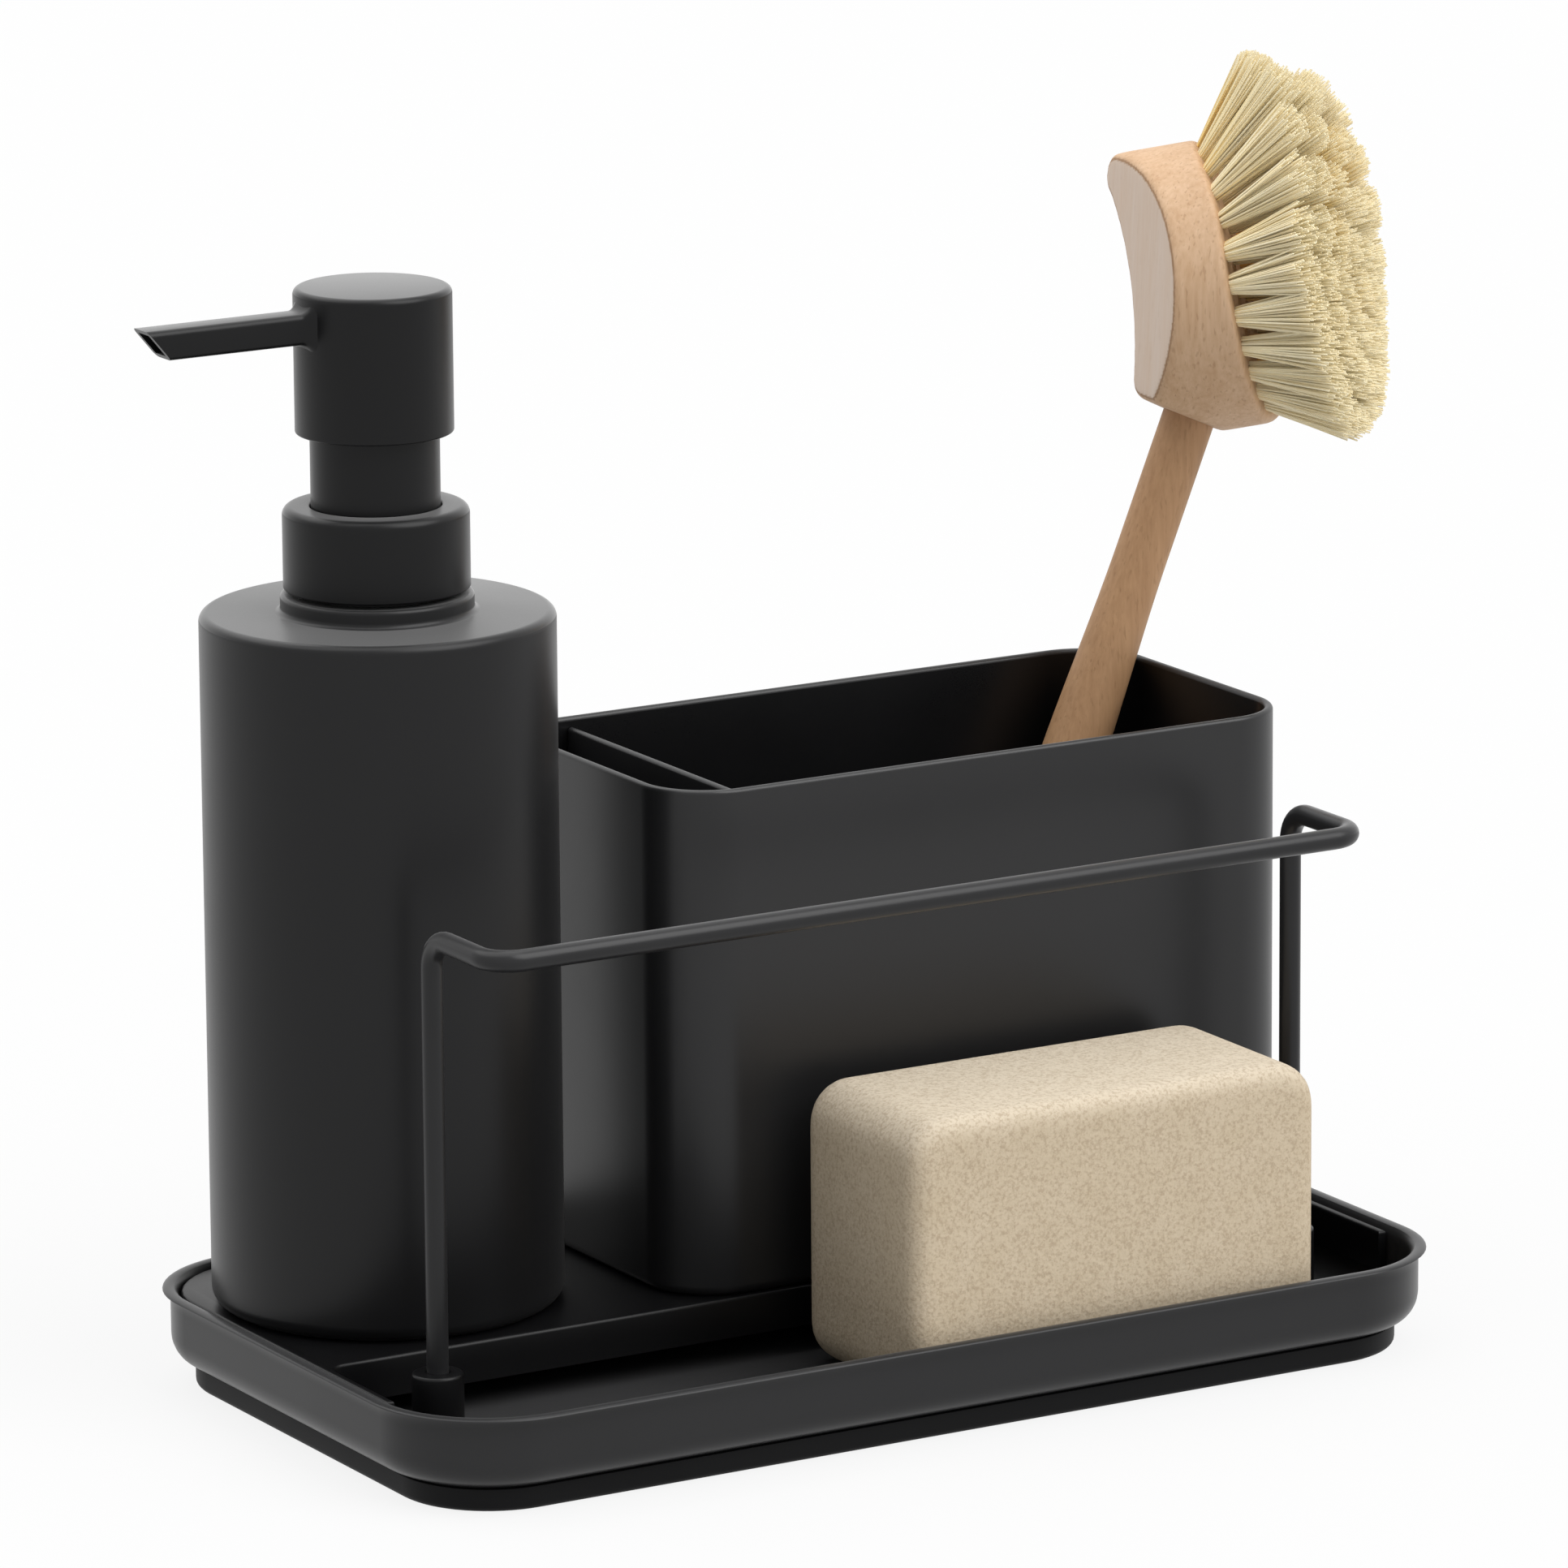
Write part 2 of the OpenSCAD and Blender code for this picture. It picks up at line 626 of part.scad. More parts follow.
module return_spring() {
    sides = 6;
    last = spring_turns * spring_rings;
    points = [for (i = [0:last]) each spring_ring(i, sides)];
    walls = [for (i = [0:last - 1], k = [0:sides - 1]) let (p = i * sides + k, q = i * sides + (k + 1) % sides)
        each [[p, q, q + sides], [p, q + sides, p + sides]]];
    end = last * sides;
    ends = [for (k = [1:sides - 2]) each [[0, k + 1, k], [end, end + k, end + k + 1]]];
    color("#a9adb1") on_bottle() polyhedron(points, concat(walls, ends));
}

// Hollow stem with a foot below the piston
module pump_stem() {
    foot_z = piston_z - part_gap - stem_foot_h;
    color("#dfe2e2") on_bottle() difference() {
        union() {
            translate([0, 0, foot_z]) cylinder(r = stem_foot_r, h = stem_foot_h);
            translate([0, 0, foot_z]) cylinder(r = stem_r, h = stem_top - foot_z);
        }
        translate([0, 0, foot_z - over]) cylinder(d = stem_bore_d, h = stem_top - foot_z + 2 * over);
    }
}

module spout_section(grow) {
    plate(spout_width + 2 * grow, spout_height + 2 * grow, spout_corner_r + grow);
}

// Lies along -X from the pump's axis, at the spout's mid height
module along_spout(from, to) {
    translate([-from, 0, spout_z + spout_height / 2]) rotate([90, 0, -90]) linear_extrude(to - from) children();
}

module head_cap() {
    inside = head_r - head_wall;
    roof = head_top - head_wall;
    color("#323233") on_bottle() difference() {
        rotate_extrude() polygon(concat(
            [[inside, head_z], [head_r, head_z]],
            arc([head_r - head_round, head_top - head_round], head_round, 0, 90),
            [[0, head_top], [0, roof], [inside, roof]]
        ));
        along_spout(inside - over, head_r + over) spout_section(rest_gap);
    }
}

// Core of the head: holds the stem and leads its passage into the spout
module head_core() {
    color("#3a3a3b") on_bottle() difference() {
        translate([0, 0, core_z]) cylinder(r = core_r, h = head_top - head_wall - core_z);
        translate([0, 0, core_z - over])
            cylinder(r = stem_r + run_fit, h = stem_top + rest_gap - core_z + over);
        translate([0, 0, core_z]) cylinder(d = stem_bore_d, h = spout_z + spout_height / 2 - core_z);
        along_spout(0, core_r + over) square([stem_bore_d, stem_bore_d], center = true);
    }
}

// Spout: a rounded box section from the core to a slanted open mouth
module spout() {
    slant = atan2(mouth_slant, spout_height);
    root = core_r - head_wall / 2;
    color("#303031") on_bottle() difference() {
        along_spout(0, spout_reach) spout_section(0);
        along_spout(-over, spout_reach + over)
            plate(spout_width - 2 * spout_wall, spout_height - 2 * spout_wall, spout_corner_r / 2);
        translate([-spout_reach, 0, spout_z + spout_height]) rotate([0, -slant, 0])
            translate([-head_d, -spout_width, -head_d]) cube([head_d, 2 * spout_width, 2 * head_d]);
        translate([0, 0, spout_z - over]) cylinder(r = core_r + rest_gap, h = spout_height + 2 * over);
    }
}

// Section of the pot wall, with a rounded foot and a rounded rim
module pot_profile() {
    r = pot_corner_r;
    rim = pot_wall / 2;
    bowl = pot_base_round / 2;
    polygon(concat(
        [[0, platform_level + rest_gap]],
        arc([r - pot_base_round, platform_level + rest_gap + pot_base_round], pot_base_round, -90, 0),
        arc([r - rim, pot_top - rim], rim, 0, 180),
        arc([r - pot_wall - bowl, pot_floor_z + bowl], bowl, 0, -90, 4),
        [[0, pot_floor_z]]
    ));
}

// Guide ribs on the front and back walls, a pair each side of the divider
module guide_ribs() {
    gap = divider_thick + 2 * part_gap;
    rib_h = pot_top - rib_drop - pot_floor_z;
    reach = rib_depth + pot_wall / 2;
    rib_y = (pot_depth - pot_wall - reach) / 2;
    for (face = [-1, 1], side = [-1, 1])
        translate([divider_x + side * (gap + rib_width) / 2, pot_y + face * rib_y,
            pot_floor_z + (rib_h - pot_floor) / 2])
            cube([rib_width, reach, rib_h + pot_floor], center = true);
}

module pot_shell() {
    color("#2f2f30") {
        translate([pot_x, pot_y, 0]) {
            around(pot_length, pot_depth, pot_corner_r) pot_profile();
            translate([0, 0, platform_level + rest_gap]) linear_extrude(pot_floor - rest_gap)
                square([pot_length - 2 * pot_corner_r, pot_depth - 2 * pot_corner_r], center = true);
        }
        guide_ribs();
    }
}

module divider_plate() {
    clear = pot_wall + part_gap;
    foot = pot_floor_z + rest_gap;
    round = divider_thick / 2;
    half = pot_depth / 2 - clear;
    height = pot_top - divider_drop - foot;
    corner = pot_base_round / 2 + part_gap;
    color("#2a2a2b") translate([divider_x, pot_y, foot]) difference() {
        rotate([90, 0, 0]) linear_extrude(2 * half, center = true) {
            translate([-round, 0]) square([divider_thick, height - round]);
            translate([0, height - round]) circle(round);
        }
        for (side = [-1, 1]) translate([0, side * half, 0]) rotate([45, 0, 0])
            cube([divider_thick + 2 * over, sqrt(2) * corner, sqrt(2) * corner], center = true);
    }
}

// Stands the brush in the pot: its local Z runs up the handle, its local X is the bristle side
module brush_place() {
    translate([brush_x, brush_y, brush_z]) rotate([0, brush_lean, 0]) rotate([0, 0, -brush_turn]) children();
}

// Places the head's own frame: x out of the bristle face, z along the head. Its origin lies
// behind the handle's axis
face_out = -2.3;
face_up = handle_length - handle_r + block_length / 2;
module head_frame() { translate([face_out, 0, face_up]) rotate([0, -head_tilt, 0]) children(); }

tenon_length = block_length / 5;

// Turned handle: a rounded end, a long swell and a slimmer neck that goes on into the head
module brush_handle() {
    steps = 12;
    top = handle_length - handle_r;
    swell_share = 0.5;
    slim_share = 0.82;
    color("#b48f6a") brush_place() rotate_extrude() polygon(concat(
        [[0, -handle_r]],
        arc([0, 0], handle_r, -80, 0, 7),
        [for (i = [0:steps]) let (t = i / steps)
            [handle_r - (handle_r - handle_neck_r) * (3 - 2 * t) * t * t,
                top * (swell_share + (slim_share - swell_share) * t)]],
        [[handle_neck_r, top + tenon_length], [0, top + tenon_length]]
    ));
}

// Crowned face of the head, in straight steps that the bristles stand on: it falls away from its
// highest point to the top of the head, and less to the handle's end
crown_share = 0.06;
crown_z = block_length * crown_share;
crown_steps = 10;
function crown_x(z) =
    let (above = z > crown_z, span = block_length / 2 + (above ? -crown_z : crown_z))
    block_crown - (above ? crown_fall : crown_foot_fall) * pow((z - crown_z) / span, 2);
function crown_line(behind) = [for (i = [-crown_steps:2:crown_steps])
    let (z = block_length / 2 * i / crown_steps) [crown_x(z) - behind, z]];
// Thickness of the face layer that carries the bristles
backing = 1.2;

// Side view of the block without the bristle backing, x out of the face: crowned front,
// round horn at the top, finger scoop in the back and a cut-away lower corner at the handle. The
// horn stands out past the scoop's end
horn_r = 5.2;
horn_out = 0.7;
heel_r = 3.5;
scoop_half_share = 0.33;
scoop_rise_share = 0.028;
heel_cut_share = 0.2;

module block_side() {
    back_x = block_crown - block_thick;
    horn_x = back_x - scoop_depth - horn_out + horn_r;
    heel_x = back_x - scoop_depth + heel_r;
    scoop_half = block_length * scoop_half_share;
    scoop_r = (scoop_half * scoop_half + scoop_depth * scoop_depth) / (2 * scoop_depth);
    scoop_a = asin(scoop_half / scoop_r);
    scoop_z = block_length * scoop_rise_share;
    polygon(concat(
        crown_line(backing),
        arc([horn_x, block_length / 2 - horn_r], horn_r, 90, 195, 9),
        arc([back_x - scoop_r, scoop_z], scoop_r, scoop_a, -scoop_a, 12),
        arc([heel_x, scoop_z - scoop_half - heel_r / 4], heel_r, 190, 240, 4),
        [[back_x + block_length * heel_cut_share, -block_length / 2]]
    ));
}

// Round outline of the head, along the bristle direction
module block_round(shrink) {
    rotate([0, 90, 0]) cylinder(r = block_length / 2 - shrink, h = 4 * block_thick, center = true);
}

module brush_head() {
    facet_pitch = 3.4;
    reach = 3 * block_length;
    color("#cdb79c") brush_place() difference() {
        head_frame() difference() {
            intersection() {
                rotate([90, 0, 0]) linear_extrude(block_length, center = true) block_side();
                block_round(0);
            }
            for (side = [-1, 1])
                translate([block_crown - facet_back, side * block_length / 2, 0])
                    rotate([0, facet_pitch, -side * facet_slope])
                        translate([-reach, -reach / 2, -reach / 2]) cube(reach);
        }
        translate([0, 0, handle_length - handle_r - block_thick])
            cylinder(r = handle_neck_r + run_fit, h = block_thick + tenon_length + rest_gap);
    }
}

// Tufts of bristles: rings round a middle tuft, each tuft a ring of strands round a middle strand
field_rise_share = 0.01;
field_r_share = 0.442;
tuft_root_share = 0.26;
tuft_tip_share = 0.55;
field_r = block_length * field_r_share;
field_z = block_length * field_rise_share;
tuft_pitch = field_r / tuft_rings;
tuft_root_r = tuft_pitch * tuft_root_share;
tuft_tip_r = tuft_pitch * tuft_tip_share;
tufts = concat([[0, field_z]], [for (ring = [1:tuft_rings])
    let (r = ring * tuft_pitch, count = round(2 * PI * ring))
    for (i = [1:count])
        let (a = 360 * (i + ring / 2) / count)
        [r * sin(a), r * cos(a) + field_z]]);
// The tufts stand square to the crowned face, and lean and fan out along the head and across it by
// these angles in degrees. They are longer towards the top, and shorter at both ends and the sides
fan_lean = 2;
fan_along = 21;
fan_across = 25;
side_trim_share = 0.14;
// Bristle length from the foot of the field, at -1, to its top, at 1
length_shares = [[-1, 0.8], [-0.7, 0.94], [0, 1], [0.75, 1.18], [1, 0.93]];
function crown_slope(z) = atan((crown_x(z - over) - crown_x(z + over)) / (2 * over));
// Direction in which a strand at a place on the face points
function fan_dir(y, z) =
    let (a = fan_lean + crown_slope(z) + fan_along * z / field_r, b = fan_across * y / field_r)
    [cos(a) * cos(b), cos(a) * sin(b), sin(a)];
function tuft_length(y, z) =
    bristle_length * lookup(z / field_r, length_shares) * (1 - side_trim_share * pow(y / field_r, 2));
// Places in a tuft, as a share of its radius and an angle
strand_places = concat([[0, 0]], [for (k = [1:tuft_strands - 1]) [1, 360 * k / (tuft_strands - 1)]]);
// Root and tip of one strand of a tuft, and the two directions across it
function strand_ends(t, s) =
    let (
        away = fan_dir(t.x, t.y),
        side = [-away.y, away.x, 0] / norm([away.x, away.y]),
        up = cross(away, side),
        spoke = s.x * (cos(s.y) * side + sin(s.y) * up),
        foot = t + tuft_root_r * s.x * [cos(s.y), sin(s.y)],
        root = [crown_x(foot.y) - backing / 2, foot.x, foot.y],
        tip = [crown_x(t.y), t.x, t.y] + tuft_length(t.x, t.y) * away + tuft_tip_r * spoke
    ) [root, tip, side, up];
function strand_points(e) = [for (end = [0, 1], k = [0:2])
    e[end] + strand_d / 2 * (cos(120 * k) * e[2] + sin(120 * k) * e[3])];
strand_faces = [[0, 1, 2], [3, 5, 4], [0, 4, 1], [0, 3, 4], [1, 5, 2], [1, 4, 5], [2, 3, 0], [2, 5, 3]];

module strands() {
    ends = [for (t = tufts, s = strand_places) strand_ends(t, s)];
    polyhedron(
        [for (e = ends) each strand_points(e)],
        [for (i = [0:len(ends) - 1]) each [for (f = strand_faces) [for (v = f) v + 6 * i]]]
    );
}

module bristles() {
    color("#e3d9ae") brush_place() head_frame() {
        intersection() {
            rotate([90, 0, 0]) linear_extrude(block_length, center = true)
                polygon(concat(crown_line(0), backwards(crown_line(backing))));
            block_round(backing / 2);
        }
        strands();
    }
}

// Foam sponge: a block with broad corners and softly rounded edges, standing in the trough
module sponge() {
    r = sponge_corner_r;
    e = sponge_edge_r;
    color("#c9b89a")
        translate([sponge_x, sponge_y + sponge_depth / 2, floor_level + part_gap + sponge_height / 2])
            rotate([90, 0, 0]) {
                around(sponge_length, sponge_height, r) polygon(concat(
                    [[0, 0]], arc([r - e, e], e, -90, 0, 6),
                    arc([r - e, sponge_depth - e], e, 0, 90, 6), [[0, sponge_depth]]
                ));
                linear_extrude(sponge_depth)
                    square([sponge_length - 2 * r, sponge_height - 2 * r], center = true);
            }
}

tray_shell();
base_plinth();
grip_pads();
platform();
rail_socket(-1);  // rail_socket_left
rail_socket(1);  // rail_socket_right
towel_rail();
bottle_shell();
neck_insert();
pump_cylinder();
dip_tube();
neck_gasket();
guide_sleeve();
check_ball();
collar_shell();
collar_nut();
piston_seal();
return_spring();
pump_stem();
head_cap();
head_core();
spout();
pot_shell();
divider_plate();
brush_handle();
brush_head();
bristles();
sponge();
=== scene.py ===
# %% [markdown]
# A sink-side caddy
#
# The real object is a shallow tray with a towel rail, a pump bottle, a tool pot with a divider, a
# wooden dish brush and a foam sponge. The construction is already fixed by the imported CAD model, so
# this lesson only dresses it: each visible piece is modelled again with finer edges, and each
# surface gets a finish. Nothing here moves or resizes a CAD part.

from math import asin, atan2, cos, degrees, pi, radians, sin, sqrt, tan

import bmesh
import bpy
import numpy as np
from mathutils import Matrix, Vector


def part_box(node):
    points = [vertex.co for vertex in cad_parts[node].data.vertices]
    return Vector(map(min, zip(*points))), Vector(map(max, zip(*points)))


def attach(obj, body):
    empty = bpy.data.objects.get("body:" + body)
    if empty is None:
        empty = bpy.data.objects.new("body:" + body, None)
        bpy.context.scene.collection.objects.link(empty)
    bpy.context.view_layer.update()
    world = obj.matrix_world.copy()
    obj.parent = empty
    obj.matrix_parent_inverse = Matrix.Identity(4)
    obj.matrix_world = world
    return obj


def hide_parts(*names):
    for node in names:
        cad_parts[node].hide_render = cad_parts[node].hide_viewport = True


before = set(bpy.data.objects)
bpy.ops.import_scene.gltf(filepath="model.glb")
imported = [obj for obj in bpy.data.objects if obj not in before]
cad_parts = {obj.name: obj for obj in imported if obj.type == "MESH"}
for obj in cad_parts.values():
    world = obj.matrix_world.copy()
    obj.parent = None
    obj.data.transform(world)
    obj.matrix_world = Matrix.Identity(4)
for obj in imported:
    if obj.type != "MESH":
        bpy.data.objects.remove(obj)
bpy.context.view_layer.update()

# %% [markdown]
# The modelling below is done in millimetres, because that is how such a product is drawn, and each
# finished piece is brought to metres in one place. The sizes that the CAD model fixes are read from
# its boxes, so that a piece always stands where its CAD node stands.

# %% Millimetres and the CAD boxes
MM = 0.001


class Box:
    """The corners of a CAD node, in millimetres."""

    def __init__(self, node):
        low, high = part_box(node)
        self.low, self.high = low / MM, high / MM
        self.mid, self.size = (self.low + self.high) / 2, self.high - self.low


tray, plinth, deck = Box("tray_shell"), Box("base_plinth"), Box("platform")
bottle, collar, sleeve, cap = Box("bottle_shell"), Box("collar_shell"), Box("guide_sleeve"), Box("head_cap")
spout, pot, divider, rail = Box("spout"), Box("pot_shell"), Box("divider_plate"), Box("towel_rail")
socket_l, socket_r, foam, neck = Box("rail_socket_left"), Box("rail_socket_right"), Box("sponge"), Box("neck_insert")
print("tray:", [round(v, 1) for v in tray.size], "bottle:", [round(v, 1) for v in bottle.size])

# %% [markdown]
# The camera comes first, so that every later step can be looked at. Its place was fitted to the
# photograph: a long lens from the front left, a little above the rim of the pot, and turned by less
# than half a degree about its own axis.

# %% The camera at the photograph's viewing angle
CAMERA_AZIMUTH, CAMERA_HEIGHT, CAMERA_ROLL = radians(-30.37), radians(13.31), radians(-0.42)
CAMERA_DISTANCE = 1859.65 * MM
CAMERA_AIM = Vector((0, 0, 90)) * MM
CAMERA_SLIDE, CAMERA_RISE = -1.8 * MM, 14.74 * MM
FOCAL_PIXELS, IMAGE_PIXELS = 13052.2, 1932

back = Vector((sin(CAMERA_AZIMUTH) * cos(CAMERA_HEIGHT), -cos(CAMERA_AZIMUTH) * cos(CAMERA_HEIGHT), sin(CAMERA_HEIGHT)))
right = Vector((cos(CAMERA_AZIMUTH), sin(CAMERA_AZIMUTH), 0))
up = back.cross(right)
eye = CAMERA_AIM + right * CAMERA_SLIDE + up * CAMERA_RISE + back * CAMERA_DISTANCE
rolled_right = right * cos(CAMERA_ROLL) + up * sin(CAMERA_ROLL)
rolled_up = up * cos(CAMERA_ROLL) - right * sin(CAMERA_ROLL)
lens = bpy.data.cameras.new("camera")
lens.sensor_width = 36
lens.lens = FOCAL_PIXELS / IMAGE_PIXELS * lens.sensor_width
lens.clip_start, lens.clip_end = 0.05, 30
camera = bpy.data.objects.new("camera", lens)
bpy.context.scene.collection.objects.link(camera)
camera.matrix_world = Matrix((rolled_right, rolled_up, back)).transposed().to_4x4()
camera.location = eye
bpy.context.scene.camera = camera
bpy.context.scene.view_settings.view_transform = "Standard"
print("lens:", round(lens.lens, 1), "mm, from", [round(v, 2) for v in eye])

# %% [markdown]
# The light is that of a white studio. Horizontal surfaces look pale at this low angle because they
# mirror the white backdrop, so the world is white for camera and glossy rays, and plainer for the
# diffuse ones. One broad sun from the front right gives the pale front of the sponge its level, and
# a broader one from above does the same for upward faces.

# %% Lights, world and floor
WORLD_LEVEL, KEY_LEVEL, TOP_LEVEL = 0.46, 2.3, 1.9
KEY_FROM, TOP_FROM = Vector((0.35, -0.55, 0.76)), Vector((-0.15, 0.30, 0.94))


def sun(name, towards, level, spread):
    lamp = bpy.data.lights.new(name, "SUN")
    lamp.energy, lamp.angle = level, spread
    made = bpy.data.objects.new(name, lamp)
    made.rotation_mode = "QUATERNION"
    made.rotation_quaternion = towards.to_track_quat("Z", "Y")
    bpy.context.scene.collection.objects.link(made)
    return made


sun("key_light", KEY_FROM, KEY_LEVEL, radians(50))
sun("top_light", TOP_FROM, TOP_LEVEL, radians(70))

world = bpy.data.worlds.new("studio")
bpy.context.scene.world = world
world.use_nodes = True
nodes, links = world.node_tree.nodes, world.node_tree.links
path = nodes.new("ShaderNodeLightPath")
seen = nodes.new("ShaderNodeMath")
seen.operation = "MAXIMUM"
mirrored = nodes.new("ShaderNodeMath")
mirrored.operation = "MAXIMUM"
level = nodes.new("ShaderNodeMapRange")
links.new(path.outputs["Is Camera Ray"], seen.inputs[0])
links.new(path.outputs["Is Glossy Ray"], seen.inputs[1])
links.new(seen.outputs[0], mirrored.inputs[0])
links.new(path.outputs["Is Transmission Ray"], mirrored.inputs[1])
links.new(mirrored.outputs[0], level.inputs["Value"])
level.inputs["To Min"].default_value = WORLD_LEVEL
level.inputs["To Max"].default_value = 1.0
links.new(level.outputs[0], nodes["Background"].inputs["Strength"])
nodes["Background"].inputs["Color"].default_value = (1, 1, 1, 1)
print("world:", WORLD_LEVEL, "key:", KEY_LEVEL)

# %% [markdown]
# A finish is a small network of nodes. To keep the sums readable, one class wraps a socket so that
# Python's own signs work on it, and another makes the nodes of one material.

# %% A value in a finish, and a finish


class Flow:
    """An output socket that can be added, multiplied and compared like a number."""

    def __init__(self, finish, socket):
        self.finish, self.socket = finish, socket

    def _sum(self, operation, first, second):
        return self.finish.node("Math", {"operation": operation}, first, second)

    def __add__(self, other):
        return self._sum("ADD", self, other)

    def __sub__(self, other):
        return self._sum("SUBTRACT", self, other)

    def __rsub__(self, other):
        return self._sum("SUBTRACT", other, self)

    def __mul__(self, other):
        return self._sum("MULTIPLY", self, other)

    def __gt__(self, other):
        return self._sum("GREATER_THAN", self, other)

    __radd__ = __add__
    __rmul__ = __mul__


class Finish:
    """One material: makes its nodes and hands out their sockets as Flow values."""

    def __init__(self, name, roughness=0.5, **constants):
        self.material = bpy.data.materials.new(name)
        self.material.use_nodes = True
        self.tree = self.material.node_tree
        self.shader = self.tree.nodes["Principled BSDF"]
        self.set(Roughness=roughness)
        for key, value in constants.items():
            self.shader.inputs[key.replace("_", " ")].default_value = value

    def feed(self, socket, value):
        if isinstance(value, Flow):
            self.tree.links.new(value.socket, socket)
        else:
            socket.default_value = value

    def set(self, **sockets):
        for key, value in sockets.items():
            self.feed(self.shader.inputs[key.replace("_", " ")], value)

    def node(self, kind, settings=None, *values, out=0, **sockets):
        made = self.tree.nodes.new("ShaderNode" + kind)
        for key, value in (settings or {}).items():
            if key == "stops":
                ramp = made.color_ramp
                while len(ramp.elements) < len(value):
                    ramp.elements.new(1)
                for stop, (place, colour) in zip(ramp.elements, value):
                    stop.position, stop.color = place, colour
            else:
                setattr(made, key, value)
        for index, value in enumerate(values):
            self.feed(made.inputs[index], value)
        for key, value in sockets.items():
            self.feed(made.inputs[key.replace("_", " ")], value)
        return Flow(self, made.outputs[out])

    def place(self, turn=(0, 0, 0), stretch=(1, 1, 1)):
        """Object coordinates in millimetres, turned and stretched for a pattern."""
        scale = tuple(v / MM for v in stretch)
        here = self.node("TexCoord", out="Object")
        return self.node("Mapping", {}, here, (0, 0, 0), turn, scale)

    def noise(self, where, size, detail=3, roughness=0.5, out="Fac"):
        """Noise whose features are about size millimetres across."""
        settings = {"noise_dimensions": "3D"}
        return self.node("TexNoise", settings, out=out, Vector=where, Scale=1 / size, Detail=detail,
                         Roughness=roughness)

    def blend(self, amount, first, second):
        made = self.tree.nodes.new("ShaderNodeMix")
        made.data_type = "RGBA"
        self.feed(made.inputs["Factor"], amount)
        colours = [socket for socket in made.inputs if socket.type == "RGBA"]
        self.feed(colours[0], first)
        self.feed(colours[1], second)
        return Flow(self, [socket for socket in made.outputs if socket.type == "RGBA"][0])

    def bump(self, height, depth, strength=1.0):
        """Raises the surface by up to depth millimetres where height is 1."""
        self.set(Normal=self.node("Bump", {}, Strength=strength, Distance=depth * MM, Height=height))


def colour(code):
    """A hex colour as the linear values that a shader takes."""
    parts = [int(code[i:i + 2], 16) / 255 for i in (1, 3, 5)]
    return tuple(p / 12.92 if p <= 0.04045 else ((p + 0.055) / 1.055) ** 2.4 for p in parts) + (1,)


print("finish helpers ready")

# %% [markdown]
# The tray, bottle, pot and rail share one look: a charcoal coat that is soft to the touch. Up close
# such a coat has a fine orange-peel grain, and it is a little uneven in gloss. Both come from noise
# in Object coordinates, which are millimetres here, so the grain has its real size on every piece.
# Seen flat along its surface the coat looks pale, most of all where it faces up; here that sheen is
# painted into the base colour as a pale grey. That painted sheen is a Layer Weight, weakened on normals that don't
# point up.

# %% Charcoal coats


def charcoal(name, code, roughness, grain_depth, specular=0.25, painted_sheen=0.0):
    coat = Finish(name, roughness, Specular_IOR_Level=specular)
    where = coat.place()
    grain = coat.noise(where, 0.35, detail=2)
    cloud = coat.noise(where, 22, detail=3)
    dark, light = colour(code), tuple(v * 1.22 for v in colour(code)[:3]) + (1,)
    shade = coat.blend(cloud * 0.7 + grain * 0.3, dark, light)
    if painted_sheen:
        # Painted sheen: the base colour turns pale grey at grazing angles, mostly on faces that point up.
        facing = coat.node("LayerWeight", {}, 0.5, out="Facing")
        upward = coat.node("SeparateXYZ", {}, coat.node("NewGeometry", out="Normal"), out="Z")
        flat = facing * facing
        shade = coat.blend(flat * flat * ((upward > 0.3) * 0.88 + 0.12) * painted_sheen, shade, colour("#c9c9c9"))
    coat.set(Base_Color=shade, Roughness=cloud * 0.10 + grain * 0.06 + (roughness - 0.08))
    coat.bump(grain, grain_depth)
    return coat.material


tray_coat = charcoal("tray_coat", "#212122", 0.32, 0.004, painted_sheen=0.15)
# A much darker copy of the charcoal coat for the platform and the sockets: painted shade for the trough, where little
# light reaches.
deck_painted_shade_coat = charcoal("deck_painted_shade_coat", "#09090a", 0.33, 0.003, specular=0.2)
plinth_coat = charcoal("plinth_coat", "#0c0c0d", 0.5, 0.006, specular=0.12)
bottle_coat = charcoal("bottle_coat", "#121213", 0.35, 0.004, specular=0.25, painted_sheen=0.62)
pump_coat = charcoal("pump_coat", "#0c0c0d", 0.33, 0.003, specular=0.21, painted_sheen=0.6)
pot_coat = charcoal("pot_coat", "#1a1a1b", 0.35, 0.004, specular=0.38)
# A darker copy of the pot's coat, used as painted shade inside the pot.
pot_inner_painted_shade = charcoal("pot_inner_painted_shade", "#0c0c0d", 0.30, 0.004)
rail_coat = charcoal("rail_coat", "#1f1f20", 0.32, 0.004, painted_sheen=0.3)
print("coats:", tray_coat.name, bottle_coat.name, pot_coat.name)

# %% [markdown]
# Most pieces are either turned about an axis or carried round a rounded rectangle. Both start from
# an outline of a few corners, each with its own rounding. The rounding matters more than anything
# else for a dark object, because only a rounded edge catches a thin line of light.

# %% Outlines with rounded corners


def rounded(corners, steps=5):
    """An outline from corners (x, y, radius); a radius of 0 keeps the corner sharp."""
    points = []
    for i, (x, y, radius) in enumerate(corners):
        here = Vector((x, y))
        if radius == 0:
            points.append(here)
            continue
        before, after = corners[i - 1], corners[(i + 1) % len(corners)]
        to_before = (Vector(before[:2]) - here).normalized()
        to_after = (Vector(after[:2]) - here).normalized()
        half = to_before.angle(to_after) / 2
        centre = here + (to_before + to_after).normalized() * radius / sin(half)
        first = here + to_before * radius / tan(half) - centre
        last = here + to_after * radius / tan(half) - centre
        turn = first.angle_signed(last)
        for k in range(steps + 1):
            points.append(centre + Matrix.Rotation(-turn * k / steps, 2) @ first)
    return points


